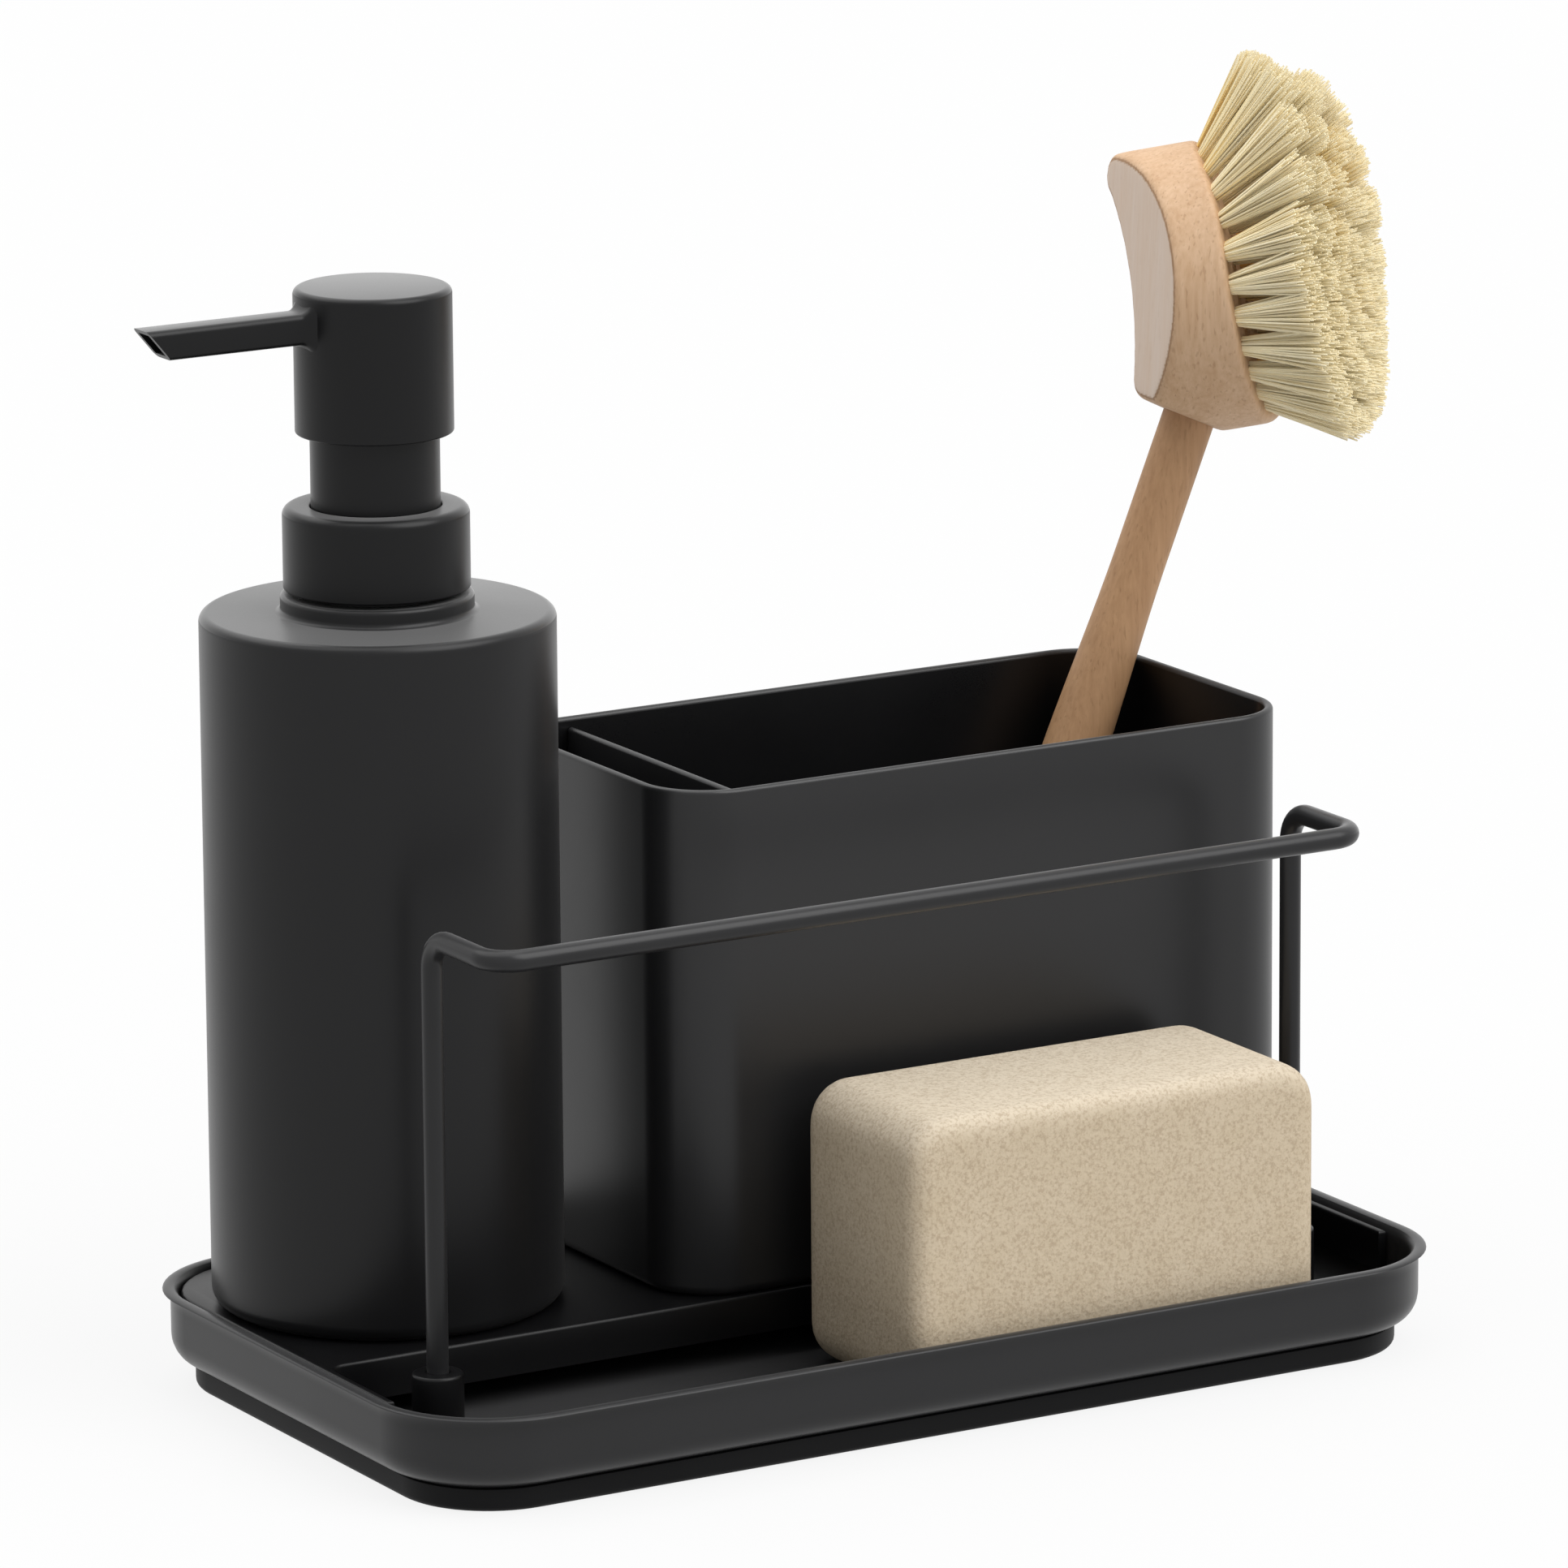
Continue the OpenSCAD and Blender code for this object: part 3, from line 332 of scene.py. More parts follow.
def ellipse(centre, width, height, start, end, steps):
    """Points on an ellipse from one angle to another, in degrees."""
    turns = [radians(start + (end - start) * k / steps) for k in range(steps + 1)]
    return [Vector((centre[0] + width * cos(t), centre[1] + height * sin(t))) for t in turns]


def draw(bm, points, closed=False):
    """Draws an outline upright in the XZ plane, and gives its edges."""
    verts = [bm.verts.new((p[0], 0, p[1])) for p in points]
    pairs = list(zip(verts, verts[1:])) + ([(verts[-1], verts[0])] if closed else [])
    return [bm.edges.new(pair) for pair in pairs]


# %% Carrying an outline along


def edges_in(geometry):
    return [g for g in geometry if isinstance(g, bmesh.types.BMEdge)]


def verts_of(edges):
    return list({v for e in edges for v in e.verts})


def push(bm, edges, move):
    """Extrudes edges and moves the new ones, and gives them."""
    made = bmesh.ops.extrude_edge_only(bm, edges=edges)["geom"]
    bmesh.ops.translate(bm, vec=move, verts=[g for g in made if isinstance(g, bmesh.types.BMVert)])
    return edges_in(made)


def bend(bm, edges, centre, axis, angle, steps):
    """Spins edges about an axis, and gives the last ones."""
    made = bmesh.ops.spin(bm, geom=edges + verts_of(edges), cent=centre, axis=axis, dvec=(0, 0, 0),
                          angle=radians(angle), steps=steps, use_merge=False, use_duplicate=False)
    return edges_in(made["geom_last"])


def turned(points, steps=96):
    """A piece turned about the Z axis from its outline."""
    bm = bmesh.new()
    edges = draw(bm, points)
    bmesh.ops.spin(bm, geom=edges + verts_of(edges), cent=(0, 0, 0), axis=(0, 0, 1), dvec=(0, 0, 0),
                   angle=2 * pi, steps=steps, use_merge=True, use_duplicate=False)
    return bm


def carried(points, length, depth, radius, steps=16):
    """An outline carried round a rounded rectangle; its x runs outwards from the corner centres."""
    bm = bmesh.new()
    x, y = length / 2 - radius, depth / 2 - radius
    edges = draw(bm, points)
    bmesh.ops.translate(bm, vec=(x, y, 0), verts=bm.verts[:])
    corners = [((x, y, 0), (-2 * x, 0, 0)), ((-x, y, 0), (0, -2 * y, 0)),
               ((-x, -y, 0), (2 * x, 0, 0)), ((x, -y, 0), (0, 2 * y, 0))]
    for centre, straight in corners:
        edges = bend(bm, edges, centre, (0, 0, 1), 90, steps)
        edges = push(bm, edges, straight)
    bmesh.ops.remove_doubles(bm, verts=bm.verts[:], dist=0.001)
    open_edges = [e for e in bm.edges if e.is_boundary]
    bmesh.ops.holes_fill(bm, edges=open_edges, sides=0)
    return bm


# %% Finishing a piece


def finished(name, bm, body, finish, replaces=(), sharp=40):
    """Closes and orients a mesh, brings it to metres and hangs it on its body."""
    bmesh.ops.remove_doubles(bm, verts=bm.verts[:], dist=0.0005)
    bmesh.ops.recalc_face_normals(bm, faces=bm.faces[:])
    bmesh.ops.scale(bm, vec=(MM, MM, MM), verts=bm.verts[:])
    mesh = bpy.data.meshes.new(name)
    bm.to_mesh(mesh)
    bm.free()
    mesh.shade_smooth()
    mesh.set_sharp_from_angle(angle=radians(sharp))
    mesh.materials.append(finish)
    piece = bpy.data.objects.new(name, mesh)
    bpy.context.scene.collection.objects.link(piece)
    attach(piece, body)
    if replaces:
        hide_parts(*replaces)
    print(name, "has", len(mesh.polygons), "faces")
    return piece


def moved(bm, place):
    bmesh.ops.translate(bm, vec=place, verts=bm.verts[:])
    return bm


# %% [markdown]
# The tray is a pressed or moulded shell. Its wall rises from a curved foot and ends in a lip that
# flares out a little. The whole section is one outline carried round the tray's rounded rectangle.

# %% The tray
TRAY_RADIUS, TRAY_WALL, LIP_FLARE, LIP_HEIGHT = 23, 1.6, 1.4, 2.8
FLOOR_LEVEL, WALL_CURVE, PLINTH_INSET, PLINTH_HEIGHT, GROOVE = 5, 5, 5.6, 4.8, 0.6
LIP_ROUND = 0.45

wall_out = TRAY_RADIUS - LIP_FLARE
wall_in = wall_out - TRAY_WALL
plinth_radius = TRAY_RADIUS - PLINTH_INSET
lip_foot = tray.high.z - LIP_HEIGHT
bowl_start = wall_in - WALL_CURVE


def lip_curve(base, steps=8):
    """The flare of the lip, from the upright wall out to the rim."""
    turns = [radians(90 * k / steps) for k in range(steps + 1)]
    return [Vector((base + LIP_FLARE * (1 - cos(t)), lip_foot + LIP_HEIGHT * sin(t))) for t in turns]


outside = [Vector((bowl_start, FLOOR_LEVEL - TRAY_WALL)), Vector((plinth_radius - GROOVE, PLINTH_HEIGHT))]
outside += ellipse((plinth_radius, PLINTH_HEIGHT + WALL_CURVE), wall_out - plinth_radius, WALL_CURVE, -90, 0, 12)
rim_out, rim_in = lip_curve(wall_out)[:-2], lip_curve(wall_in)[:-2]
rim = ellipse((TRAY_RADIUS - LIP_FLARE / 2 - LIP_ROUND, tray.high.z - LIP_ROUND), LIP_FLARE / 2 + LIP_ROUND,
              LIP_ROUND, 0, 180, 10)
inside = ellipse((wall_in - WALL_CURVE, FLOOR_LEVEL + WALL_CURVE), WALL_CURVE, WALL_CURVE, 0, -90, 12)
tray_outline = outside + rim_out + rim + rim_in[::-1] + inside
tray_piece = finished("tray", carried(tray_outline, tray.size.x, tray.size.y, TRAY_RADIUS), "tray",
                      tray_coat, ["tray_shell"])

# %% [markdown]
# Under the tray lies a plinth, set back so that the tray seems to float over a thin shadow. Its
# lower edge is rounded.

# %% The plinth
PLINTH_ROUND = 1.2
plinth_outline = rounded([
    (bowl_start, 0, 0), (plinth_radius, 0, PLINTH_ROUND), (plinth_radius, PLINTH_HEIGHT - GROOVE, 0.25),
    (plinth_radius - GROOVE, PLINTH_HEIGHT - GROOVE, 0), (plinth_radius - GROOVE, PLINTH_HEIGHT - 0.05, 0),
    (bowl_start, FLOOR_LEVEL - TRAY_WALL - 0.05, 0)])
plinth_piece = finished("plinth", carried(plinth_outline, tray.size.x, tray.size.y, TRAY_RADIUS), "tray",
                        plinth_coat, ["base_plinth"])

# %% [markdown]
# The platform fills the back of the tray, and a narrow ledge runs on from it at each end of the
# trough. It is a flat outline, extruded and then bevelled along its upper edge.

# %% The platform
LEDGE, LEDGE_LENGTH, TROUGH_DEPTH, TROUGH_ROUND, EDGE_ROUND = 1.6, 24, 45, 3, 0.6
deck_radius = wall_in - 0.3
deck_front = deck.high.y + 0.3 - (tray.size.y - 2 * LIP_FLARE - 2 * TRAY_WALL) + TROUGH_DEPTH
ledge_x, ledge_y = deck.high.x - LEDGE, deck_front - LEDGE_LENGTH


def slab(points, low, high):
    """A flat outline in the XY plane, extruded from one level to another."""
    bm = bmesh.new()
    face = bm.faces.new([bm.verts.new((p[0], p[1], low)) for p in points])
    made = bmesh.ops.extrude_face_region(bm, geom=[face])["geom"]
    bmesh.ops.translate(bm, vec=(0, 0, high - low), verts=[g for g in made if isinstance(g, bmesh.types.BMVert)])
    return bm


def soften(bm, edges, width, segments=3):
    """Rounds the edges that are given."""
    bmesh.ops.bevel(bm, geom=edges, offset=width, offset_type="OFFSET", segments=segments, profile=0.5,
                    affect="EDGES", material=-1, clamp_overlap=True)


def edges_at(bm, level):
    """The edges that lie flat at one level."""
    return [e for e in bm.edges if all(abs(v.co.z - level) < 0.001 for v in e.verts)]


deck_outline = rounded([
    (deck.high.x, deck.high.y, deck_radius), (deck.low.x, deck.high.y, deck_radius), (deck.low.x, ledge_y, 0),
    (-ledge_x, ledge_y, 0), (-ledge_x, deck_front, TROUGH_ROUND), (ledge_x, deck_front, TROUGH_ROUND),
    (ledge_x, ledge_y, 0), (deck.high.x, ledge_y, 0)], steps=10)
deck_mesh = slab(deck_outline, FLOOR_LEVEL + WALL_CURVE, deck.high.z)
soften(deck_mesh, edges_at(deck_mesh, deck.high.z), EDGE_ROUND)
deck_piece = finished("platform_deck", deck_mesh, "tray", deck_painted_shade_coat, ["platform"])

# %% [markdown]
# Each post of the towel rail stands in a small socket on the tray floor: a turned cup with a flat
# top and a softly broken edge.

# %% The rail sockets
WIRE = 3.8
for socket in (socket_l, socket_r):
    radius, bore = socket.size.x / 2, WIRE / 2 + 0.1
    outline = rounded([(bore, socket.high.z - 6, 0), (bore, socket.high.z, 0.3), (radius, socket.high.z, 0.6),
                       (radius, socket.low.z, 0)], steps=4)
    side = "left" if socket is socket_l else "right"
    finished(f"socket_{side}", moved(turned(outline, 48), (socket.mid.x, socket.mid.y, 0)), "tray", deck_painted_shade_coat,
             [f"rail_socket_{side}"])

# %% [markdown]
# The rail is one length of wire with four tight bends. A ring of vertices is pushed along each
# straight and spun round each bend, exactly as a wire bender works.

# %% The towel rail
BEND = 5.5
wire_radius = WIRE / 2
post_x, post_y, bar_z = rail.high.x - wire_radius, rail.high.y - wire_radius, rail.high.z - wire_radius
bar_y = rail.low.y + wire_radius
rail_mesh = bmesh.new()
ring = bmesh.ops.create_circle(rail_mesh, cap_ends=False, segments=24, radius=wire_radius)["verts"]
bmesh.ops.translate(rail_mesh, vec=(post_x, post_y, rail.low.z), verts=ring)
edges = rail_mesh.edges[:]
edges = push(rail_mesh, edges, (0, 0, bar_z - BEND - rail.low.z))
edges = bend(rail_mesh, edges, (post_x, post_y - BEND, bar_z - BEND), (1, 0, 0), 90, 10)
edges = push(rail_mesh, edges, (0, bar_y - post_y + 2 * BEND, 0))
edges = bend(rail_mesh, edges, (post_x - BEND, bar_y + BEND, bar_z), (0, 0, -1), 90, 10)
edges = push(rail_mesh, edges, (2 * BEND - 2 * post_x, 0, 0))
edges = bend(rail_mesh, edges, (BEND - post_x, bar_y + BEND, bar_z), (0, 0, -1), 90, 10)
edges = push(rail_mesh, edges, (0, post_y - bar_y - 2 * BEND, 0))
edges = bend(rail_mesh, edges, (-post_x, post_y - BEND, bar_z - BEND), (-1, 0, 0), 90, 10)
push(rail_mesh, edges, (0, 0, rail.low.z + BEND - bar_z))
bmesh.ops.holes_fill(rail_mesh, edges=[e for e in rail_mesh.edges if e.is_boundary], sides=0)
rail_piece = finished("rail_wire", rail_mesh, "rail", rail_coat, ["towel_rail"])

# %% [markdown]
# The bottle is turned from one outline that runs up the outside, over the neck and down the inside,
# so that it has a real wall and is empty when the pump is out.

# %% The bottle
BOTTLE_WALL, NECK_RING, NECK_RING_HEIGHT, NECK, PLAY = 1.8, 33.7, 3.2, 25.8, 0.06
bottle_radius = bottle.size.x / 2
ring_top, base = bottle.high.z, bottle.low.z
shoulder = ring_top - NECK_RING_HEIGHT
axis = Vector((bottle.mid.x, bottle.mid.y, 0))
bottle_outline = rounded([
    (0, base, 0), (bottle_radius, base, 3), (bottle_radius, shoulder, 1.6),
    (NECK_RING / 2, shoulder, 1.0), (NECK_RING / 2, ring_top, 0.8), (NECK / 2 + PLAY, ring_top, 0.2),
    (NECK / 2 + PLAY, shoulder - BOTTLE_WALL, 0), (bottle_radius - BOTTLE_WALL, shoulder - BOTTLE_WALL, 1.5),
    (bottle_radius - BOTTLE_WALL, base + BOTTLE_WALL, 2), (0, base + BOTTLE_WALL, 0)], steps=8)
bottle_piece = finished("bottle", moved(turned(bottle_outline, 128), axis), "bottle", bottle_coat,
                        ["bottle_shell"])

# %% [markdown]
# The neck is a moulding of its own, pressed into the bottle's ring from inside. Its thread is a
# small outline spun twice round the axis while it climbs, which is what spin's dvec is for.

# %% The neck and its thread
THREAD_RISE, THREAD_PITCH, THREAD_TURNS, THREAD_STEPS = 0.6, 2.6, 2, 60
neck_plastic = charcoal("neck_plastic", "#202122", 0.40, 0.004)
neck_radius, throat, thread_foot = NECK / 2, NECK / 2 - BOTTLE_WALL, ring_top + 2
neck_outline = rounded([
    (throat, neck.low.z, 0.3), (neck.size.x / 2, neck.low.z, 0.3), (neck.size.x / 2, neck.low.z + BOTTLE_WALL, 0.3),
    (neck_radius, neck.low.z + BOTTLE_WALL, 0), (neck_radius, neck.high.z, 0.4), (throat, neck.high.z, 0.4)], steps=3)
neck_mesh = turned(neck_outline + neck_outline[:1])
ridge = draw(neck_mesh, rounded([
    (neck_radius - 0.1, thread_foot, 0), (neck_radius + THREAD_RISE, thread_foot + 0.5, 0.1),
    (neck_radius + THREAD_RISE, thread_foot + 0.9, 0.1), (neck_radius - 0.1, thread_foot + 1.4, 0)], steps=2), closed=True)
bmesh.ops.spin(neck_mesh, geom=ridge + verts_of(ridge), cent=(0, 0, 0), axis=(0, 0, 1), angle=2 * pi * THREAD_TURNS,
               dvec=(0, 0, THREAD_PITCH / THREAD_STEPS), steps=THREAD_TURNS * THREAD_STEPS, use_merge=False,
               use_duplicate=False)
bmesh.ops.holes_fill(neck_mesh, edges=[e for e in neck_mesh.edges if e.is_boundary], sides=0)
neck_piece = finished("neck", moved(neck_mesh, axis), "bottle", neck_plastic, ["neck_insert"])

# %% [markdown]
# The collar screws down on the neck. It is a plain turned cap with a hole for the sleeve.

# %% The collar and the sleeve
COLLAR_WALL, SLEEVE_WALL = 1.2, 1.5
collar_radius, sleeve_radius = collar.size.x / 2, sleeve.size.x / 2
hole = sleeve_radius + 0.15
collar_outline = rounded([
    (collar_radius - COLLAR_WALL, collar.low.z, 0.3), (collar_radius, collar.low.z, 0.4),
    (collar_radius, collar.high.z, 1.6), (hole, collar.high.z, 0.4), (hole, collar.high.z - COLLAR_WALL, 0),
    (collar_radius - COLLAR_WALL, collar.high.z - COLLAR_WALL, 0),
    (collar_radius - COLLAR_WALL, collar.low.z + 1, 0)], steps=7)
collar_piece = finished("collar", moved(turned(collar_outline, 128), axis), "collar", pump_coat,
                        ["collar_shell"])
stem_hole = 2.86
sleeve_outline = rounded([
    (stem_hole, sleeve.low.z, 0), (sleeve_radius, sleeve.low.z, 0), (sleeve_radius, sleeve.high.z, 0.5),
    (sleeve_radius - SLEEVE_WALL, sleeve.high.z, 0.4), (sleeve_radius - SLEEVE_WALL, sleeve.low.z + 2, 0.3),
    (stem_hole, sleeve.low.z + 2, 0)], steps=4)
sleeve_piece = finished("sleeve", moved(turned(sleeve_outline + sleeve_outline[:1], 96), axis), "pump_unit",
                        pump_coat, ["guide_sleeve"])

# %% [markdown]
# The head is a cap turned with its open end down. The spout comes out of its side: a slim box
# section whose mouth is cut on a slant, hollow a good way in.

# %% The pump head
HEAD_WALL, HEAD_ROUND = 1.3, 1.2
head_radius = cap.size.x / 2
head_outline = rounded([
    (head_radius - HEAD_WALL, cap.low.z, 0.3), (head_radius, cap.low.z, 0.4), (head_radius, cap.high.z, HEAD_ROUND),
    (0, cap.high.z, 0), (0, cap.high.z - HEAD_WALL, 0), (head_radius - HEAD_WALL, cap.high.z - HEAD_WALL, 0.5),
    (head_radius - HEAD_WALL, cap.low.z + 1, 0)], steps=7)
head_piece = finished("head", moved(turned(head_outline, 128), axis), "head", pump_coat,
                      ["head_cap"])

# %% The spout
SPOUT_ROUND, SPOUT_WALL, MOUTH_SLANT, MOUTH_DEPTH, SPOUT_FILLET, FILLET_STEPS = 1.1, 1.0, 4.5, 14, 1.6, 6
spout_outline = rounded([
    (spout.high.y, spout.high.z, SPOUT_ROUND), (spout.low.y, spout.high.z, SPOUT_ROUND),
    (spout.low.y, spout.low.z, SPOUT_ROUND), (spout.high.y, spout.low.z, SPOUT_ROUND)], steps=5)
spout_mesh = bmesh.new()
root_x, cap_x = spout.high.x, axis.x - head_radius
section = spout_mesh.faces.new([spout_mesh.verts.new((root_x, p[0], p[1])) for p in spout_outline])
made = bmesh.ops.extrude_face_region(spout_mesh, geom=[section])["geom"]
bmesh.ops.translate(spout_mesh, vec=(spout.low.x - root_x, 0, 0),
                    verts=[g for g in made if isinstance(g, bmesh.types.BMVert)])


def everything(bm):
    return bm.verts[:] + bm.edges[:] + bm.faces[:]


cut = bmesh.ops.bisect_plane(
    spout_mesh, geom=everything(spout_mesh), dist=0.0001, plane_co=(spout.low.x, 0, spout.high.z),
    plane_no=Vector((-spout.size.z, 0, -MOUTH_SLANT)), clear_outer=True)
mouth = bmesh.ops.contextual_create(spout_mesh, geom=edges_in(cut["geom_cut"]))["faces"]
bmesh.ops.inset_region(spout_mesh, faces=mouth, thickness=SPOUT_WALL, depth=0, use_even_offset=True)
bore = bmesh.ops.extrude_face_region(spout_mesh, geom=mouth)["geom"]
bmesh.ops.translate(spout_mesh, vec=(MOUTH_DEPTH, 0, 0), verts=[g for g in bore if isinstance(g, bmesh.types.BMVert)])
bmesh.ops.delete(spout_mesh, geom=[f for f in mouth if f.is_valid], context="FACES")

# %% [markdown]
# Where the spout grows out of the head there is a small fillet. The straight tube is sliced a few
# times there, and each slice is widened along a quarter circle and moved on to the head's round side.
# One more slice inside the wall keeps its size, so nothing wider reaches the sleeve under the head.

# %% The fillet at the spout's root
bmesh.ops.bisect_plane(spout_mesh, geom=everything(spout_mesh), dist=0.0001, plane_no=(1, 0, 0),
                       plane_co=(cap_x + HEAD_WALL - 0.2, 0, 0))
slices = []
for k in range(FILLET_STEPS + 1):
    turn = radians(90 * k / FILLET_STEPS)
    slice_x = cap_x - SPOUT_FILLET * (1 - sin(turn))
    cut = bmesh.ops.bisect_plane(spout_mesh, geom=everything(spout_mesh), dist=0.0001, plane_co=(slice_x, 0, 0),
                                 plane_no=(1, 0, 0))
    slices.append((verts_of(edges_in(cut["geom_cut"])), SPOUT_FILLET * (1 - cos(turn)), k / FILLET_STEPS))
for ring, grown, share in slices:
    for vert in ring:
        vert.co.y = spout.mid.y + (vert.co.y - spout.mid.y) * (1 + grown / (spout.size.y / 2))
        vert.co.z = spout.mid.z + (vert.co.z - spout.mid.z) * (1 + grown / (spout.size.z / 2))
        vert.co.x += (head_radius + 0.2 - sqrt(head_radius ** 2 - (vert.co.y - axis.y) ** 2)) * share ** 2
spout_piece = finished("spout_tube", spout_mesh, "head", pump_coat, ["spout"])

# %% [markdown]
# The pot is a thin wall carried round a rounded rectangle, with a rolled rim, a rounded foot and two
# pairs of guide ribs that hold the divider.

# %% The pot
POT_RADIUS, POT_WALL, POT_FLOOR, RIB, RIB_DEPTH, RIB_DROP = 13, 1.6, 2, 1.4, 2, 9
DIVIDER_PLAY = 0.3
half_wall = POT_WALL / 2
pot_outline = rounded([
    (POT_RADIUS - 3, pot.low.z, 0), (POT_RADIUS, pot.low.z, 2), (POT_RADIUS, pot.high.z, 0.75),
    (POT_RADIUS - POT_WALL, pot.high.z, 0.75), (POT_RADIUS - POT_WALL, pot.low.z + POT_FLOOR, 1),
    (POT_RADIUS - 3, pot.low.z + POT_FLOOR, 0)], steps=6)
pot_mesh = moved(carried(pot_outline, pot.size.x, pot.size.y, POT_RADIUS, 20), (pot.mid.x, pot.mid.y, 0))
rib_low, rib_high = pot.low.z + POT_FLOOR / 2, pot.high.z - RIB_DROP
for front in (-1, 1):
    for end in (-1, 1):
        x = divider.mid.x + end * (divider.size.x / 2 + DIVIDER_PLAY + RIB / 2)
        y = pot.mid.y + front * (pot.size.y / 2 - half_wall - (RIB_DEPTH + half_wall) / 2)
        rib = bmesh.ops.create_cube(pot_mesh, size=1)["verts"]
        bmesh.ops.scale(pot_mesh, vec=(RIB, RIB_DEPTH + half_wall, rib_high - rib_low), verts=rib)
        bmesh.ops.translate(pot_mesh, vec=(x, y, (rib_high + rib_low) / 2), verts=rib)
        upright = list({e for v in rib for e in v.link_edges if abs(e.verts[0].co.z - e.verts[1].co.z) > 1})
        soften(pot_mesh, upright, 0.4)
pot_piece = finished("pot", pot_mesh, "pot", pot_coat, ["pot_shell"])
pot_piece.data.materials.append(pot_inner_painted_shade)
# The inside faces below the rim get the darker copy of the coat: painted shade inside the pot.
shaded_faces = 0
for face in pot_piece.data.polygons:
    outwards = face.center - pot.mid * MM
    inner = face.normal.x * outwards.x + face.normal.y * outwards.y < 0 or face.normal.z > 0.9
    if inner and face.center.z < (pot.high.z - 1.5) * MM:
        face.material_index = 1
        shaded_faces += 1
print("faces of the pot's dark inside:", shaded_faces)

# %% The divider
divider_outline = rounded([
    (divider.low.x, divider.low.z, 0), (divider.high.x, divider.low.z, 0),
    (divider.high.x, divider.high.z, 0.65), (divider.low.x, divider.high.z, 0.65)], steps=6)
divider_mesh = bmesh.new()
section = divider_mesh.faces.new([divider_mesh.verts.new((p[0], divider.low.y, p[1])) for p in divider_outline])
made = bmesh.ops.extrude_face_region(divider_mesh, geom=[section])["geom"]
bmesh.ops.translate(divider_mesh, vec=(0, divider.size.y, 0),
                    verts=[g for g in made if isinstance(g, bmesh.types.BMVert)])
divider_piece = finished("divider", divider_mesh, "divider", pot_coat, ["divider_plate"])

# %% [markdown]
# The brush leans in the corner of the pot. Its handle and head are modelled upright in their own
# frame, which is far easier to think in, and then placed by two matrices: one stands the handle in
# the pot, the other tilts the head on the handle.

# %% The brush's own frames
LEAN, TURN, HEAD_TILT = radians(22.6), radians(48), radians(27.5)
HANDLE, HANDLE_NECK, HANDLE_LENGTH = 11.8, 9.7, 141.4
BLOCK_LENGTH, BLOCK_THICK, CROWN, SCOOP = 53.2, 21.2, 6.4, 2.4
FACE_OUT = -2.3
REST_GAP, PART_GAP, BRUSH_BACK = 0.05, 0.3, 11.8

handle_radius = HANDLE / 2
pot_floor = pot.low.z - REST_GAP + POT_FLOOR
foot_z = pot_floor + PART_GAP + handle_radius
rim_x = pot.high.x - POT_WALL - (handle_radius + PART_GAP) / cos(LEAN)
foot_x = rim_x - (pot.high.z - foot_z) * tan(LEAN)
foot_y = pot.high.y - POT_WALL - BRUSH_BACK
stand = Matrix.Translation((foot_x, foot_y, foot_z)) @ Matrix.Rotation(LEAN, 4, "Y") @ Matrix.Rotation(-TURN, 4, "Z")
head_up = HANDLE_LENGTH - handle_radius + BLOCK_LENGTH / 2
tilt = stand @ Matrix.Translation((FACE_OUT, 0, head_up)) @ Matrix.Rotation(-HEAD_TILT, 4, "Y")
print("the brush stands at", [round(v, 1) for v in (foot_x, foot_y, foot_z)])

# %% [markdown]
# Both wooden parts are beech. Beech is told by its fine, straight grain and by short dark flecks
# that run with it. The grain is noise stretched far along the stick, turned with the stick by the
# pattern's own mapping.

# %% Beech


def beech(name, pale, dark, fleck, turn, roughness, facet_tone_and_sheen=None):
    wood = Finish(name, roughness, Specular_IOR_Level=0.35)
    along = wood.place(turn, (1, 1, 0.06))
    fine = wood.noise(along, 0.9, detail=4, roughness=0.6)
    broad = wood.noise(along, 5, detail=2)
    short = wood.node("TexNoise", {"noise_dimensions": "3D"}, out="Fac",
                      Vector=wood.place(turn, (1, 1, 0.22)), Scale=1.6, Detail=1.0)
    flecks = wood.node("ValToRGB", {"stops": [(0.60, (0, 0, 0, 1)), (0.72, (1, 1, 1, 1))]}, short)
    streaks = wood.node("ValToRGB", {"stops": [(0.35, (0, 0, 0, 1)), (0.68, (1, 1, 1, 1))]}, fine * 0.6 + broad * 0.4)
    ground = wood.blend(streaks, colour(pale), colour(dark))
    if facet_tone_and_sheen:
        planed = wood.node("Attribute", {"attribute_name": "planed"}, out="Fac")
        # On the facet the flecks fade, as on a planed face, and the colour turns paler and greyer: that paling is
        # painted sheen.
        flecks = flecks * (1 - planed * 0.8)
        ground = wood.blend(planed * 0.9, ground, wood.blend(streaks * 0.4, colour(facet_tone_and_sheen), colour(pale)))
        # Painted shade: a dark line along the facet's edge, where the facet mask lies between 0 and 1.
        ground = wood.blend(planed * (1 - planed) * 3.9, ground, colour(fleck))
    wood.set(Base_Color=wood.blend(flecks * 0.35, ground, colour(fleck)), Roughness=fine * 0.12 + (roughness - 0.06))
    wood.bump(fine * 0.7 + flecks * -0.5, 0.05)
    return wood.material


HANDLE_TURN = (0, -LEAN, 0)
BLOCK_TURN = tuple((tilt.to_3x3().inverted()).to_euler())
handle_wood = beech("handle_wood", "#bb936c", "#a67f5b", "#8d6846", HANDLE_TURN, 0.55)
block_wood = beech("block_wood", "#d3b291", "#c09b77", "#9c7754", BLOCK_TURN, 0.6, facet_tone_and_sheen="#dccbbd")
print("woods:", handle_wood.name, block_wood.name)

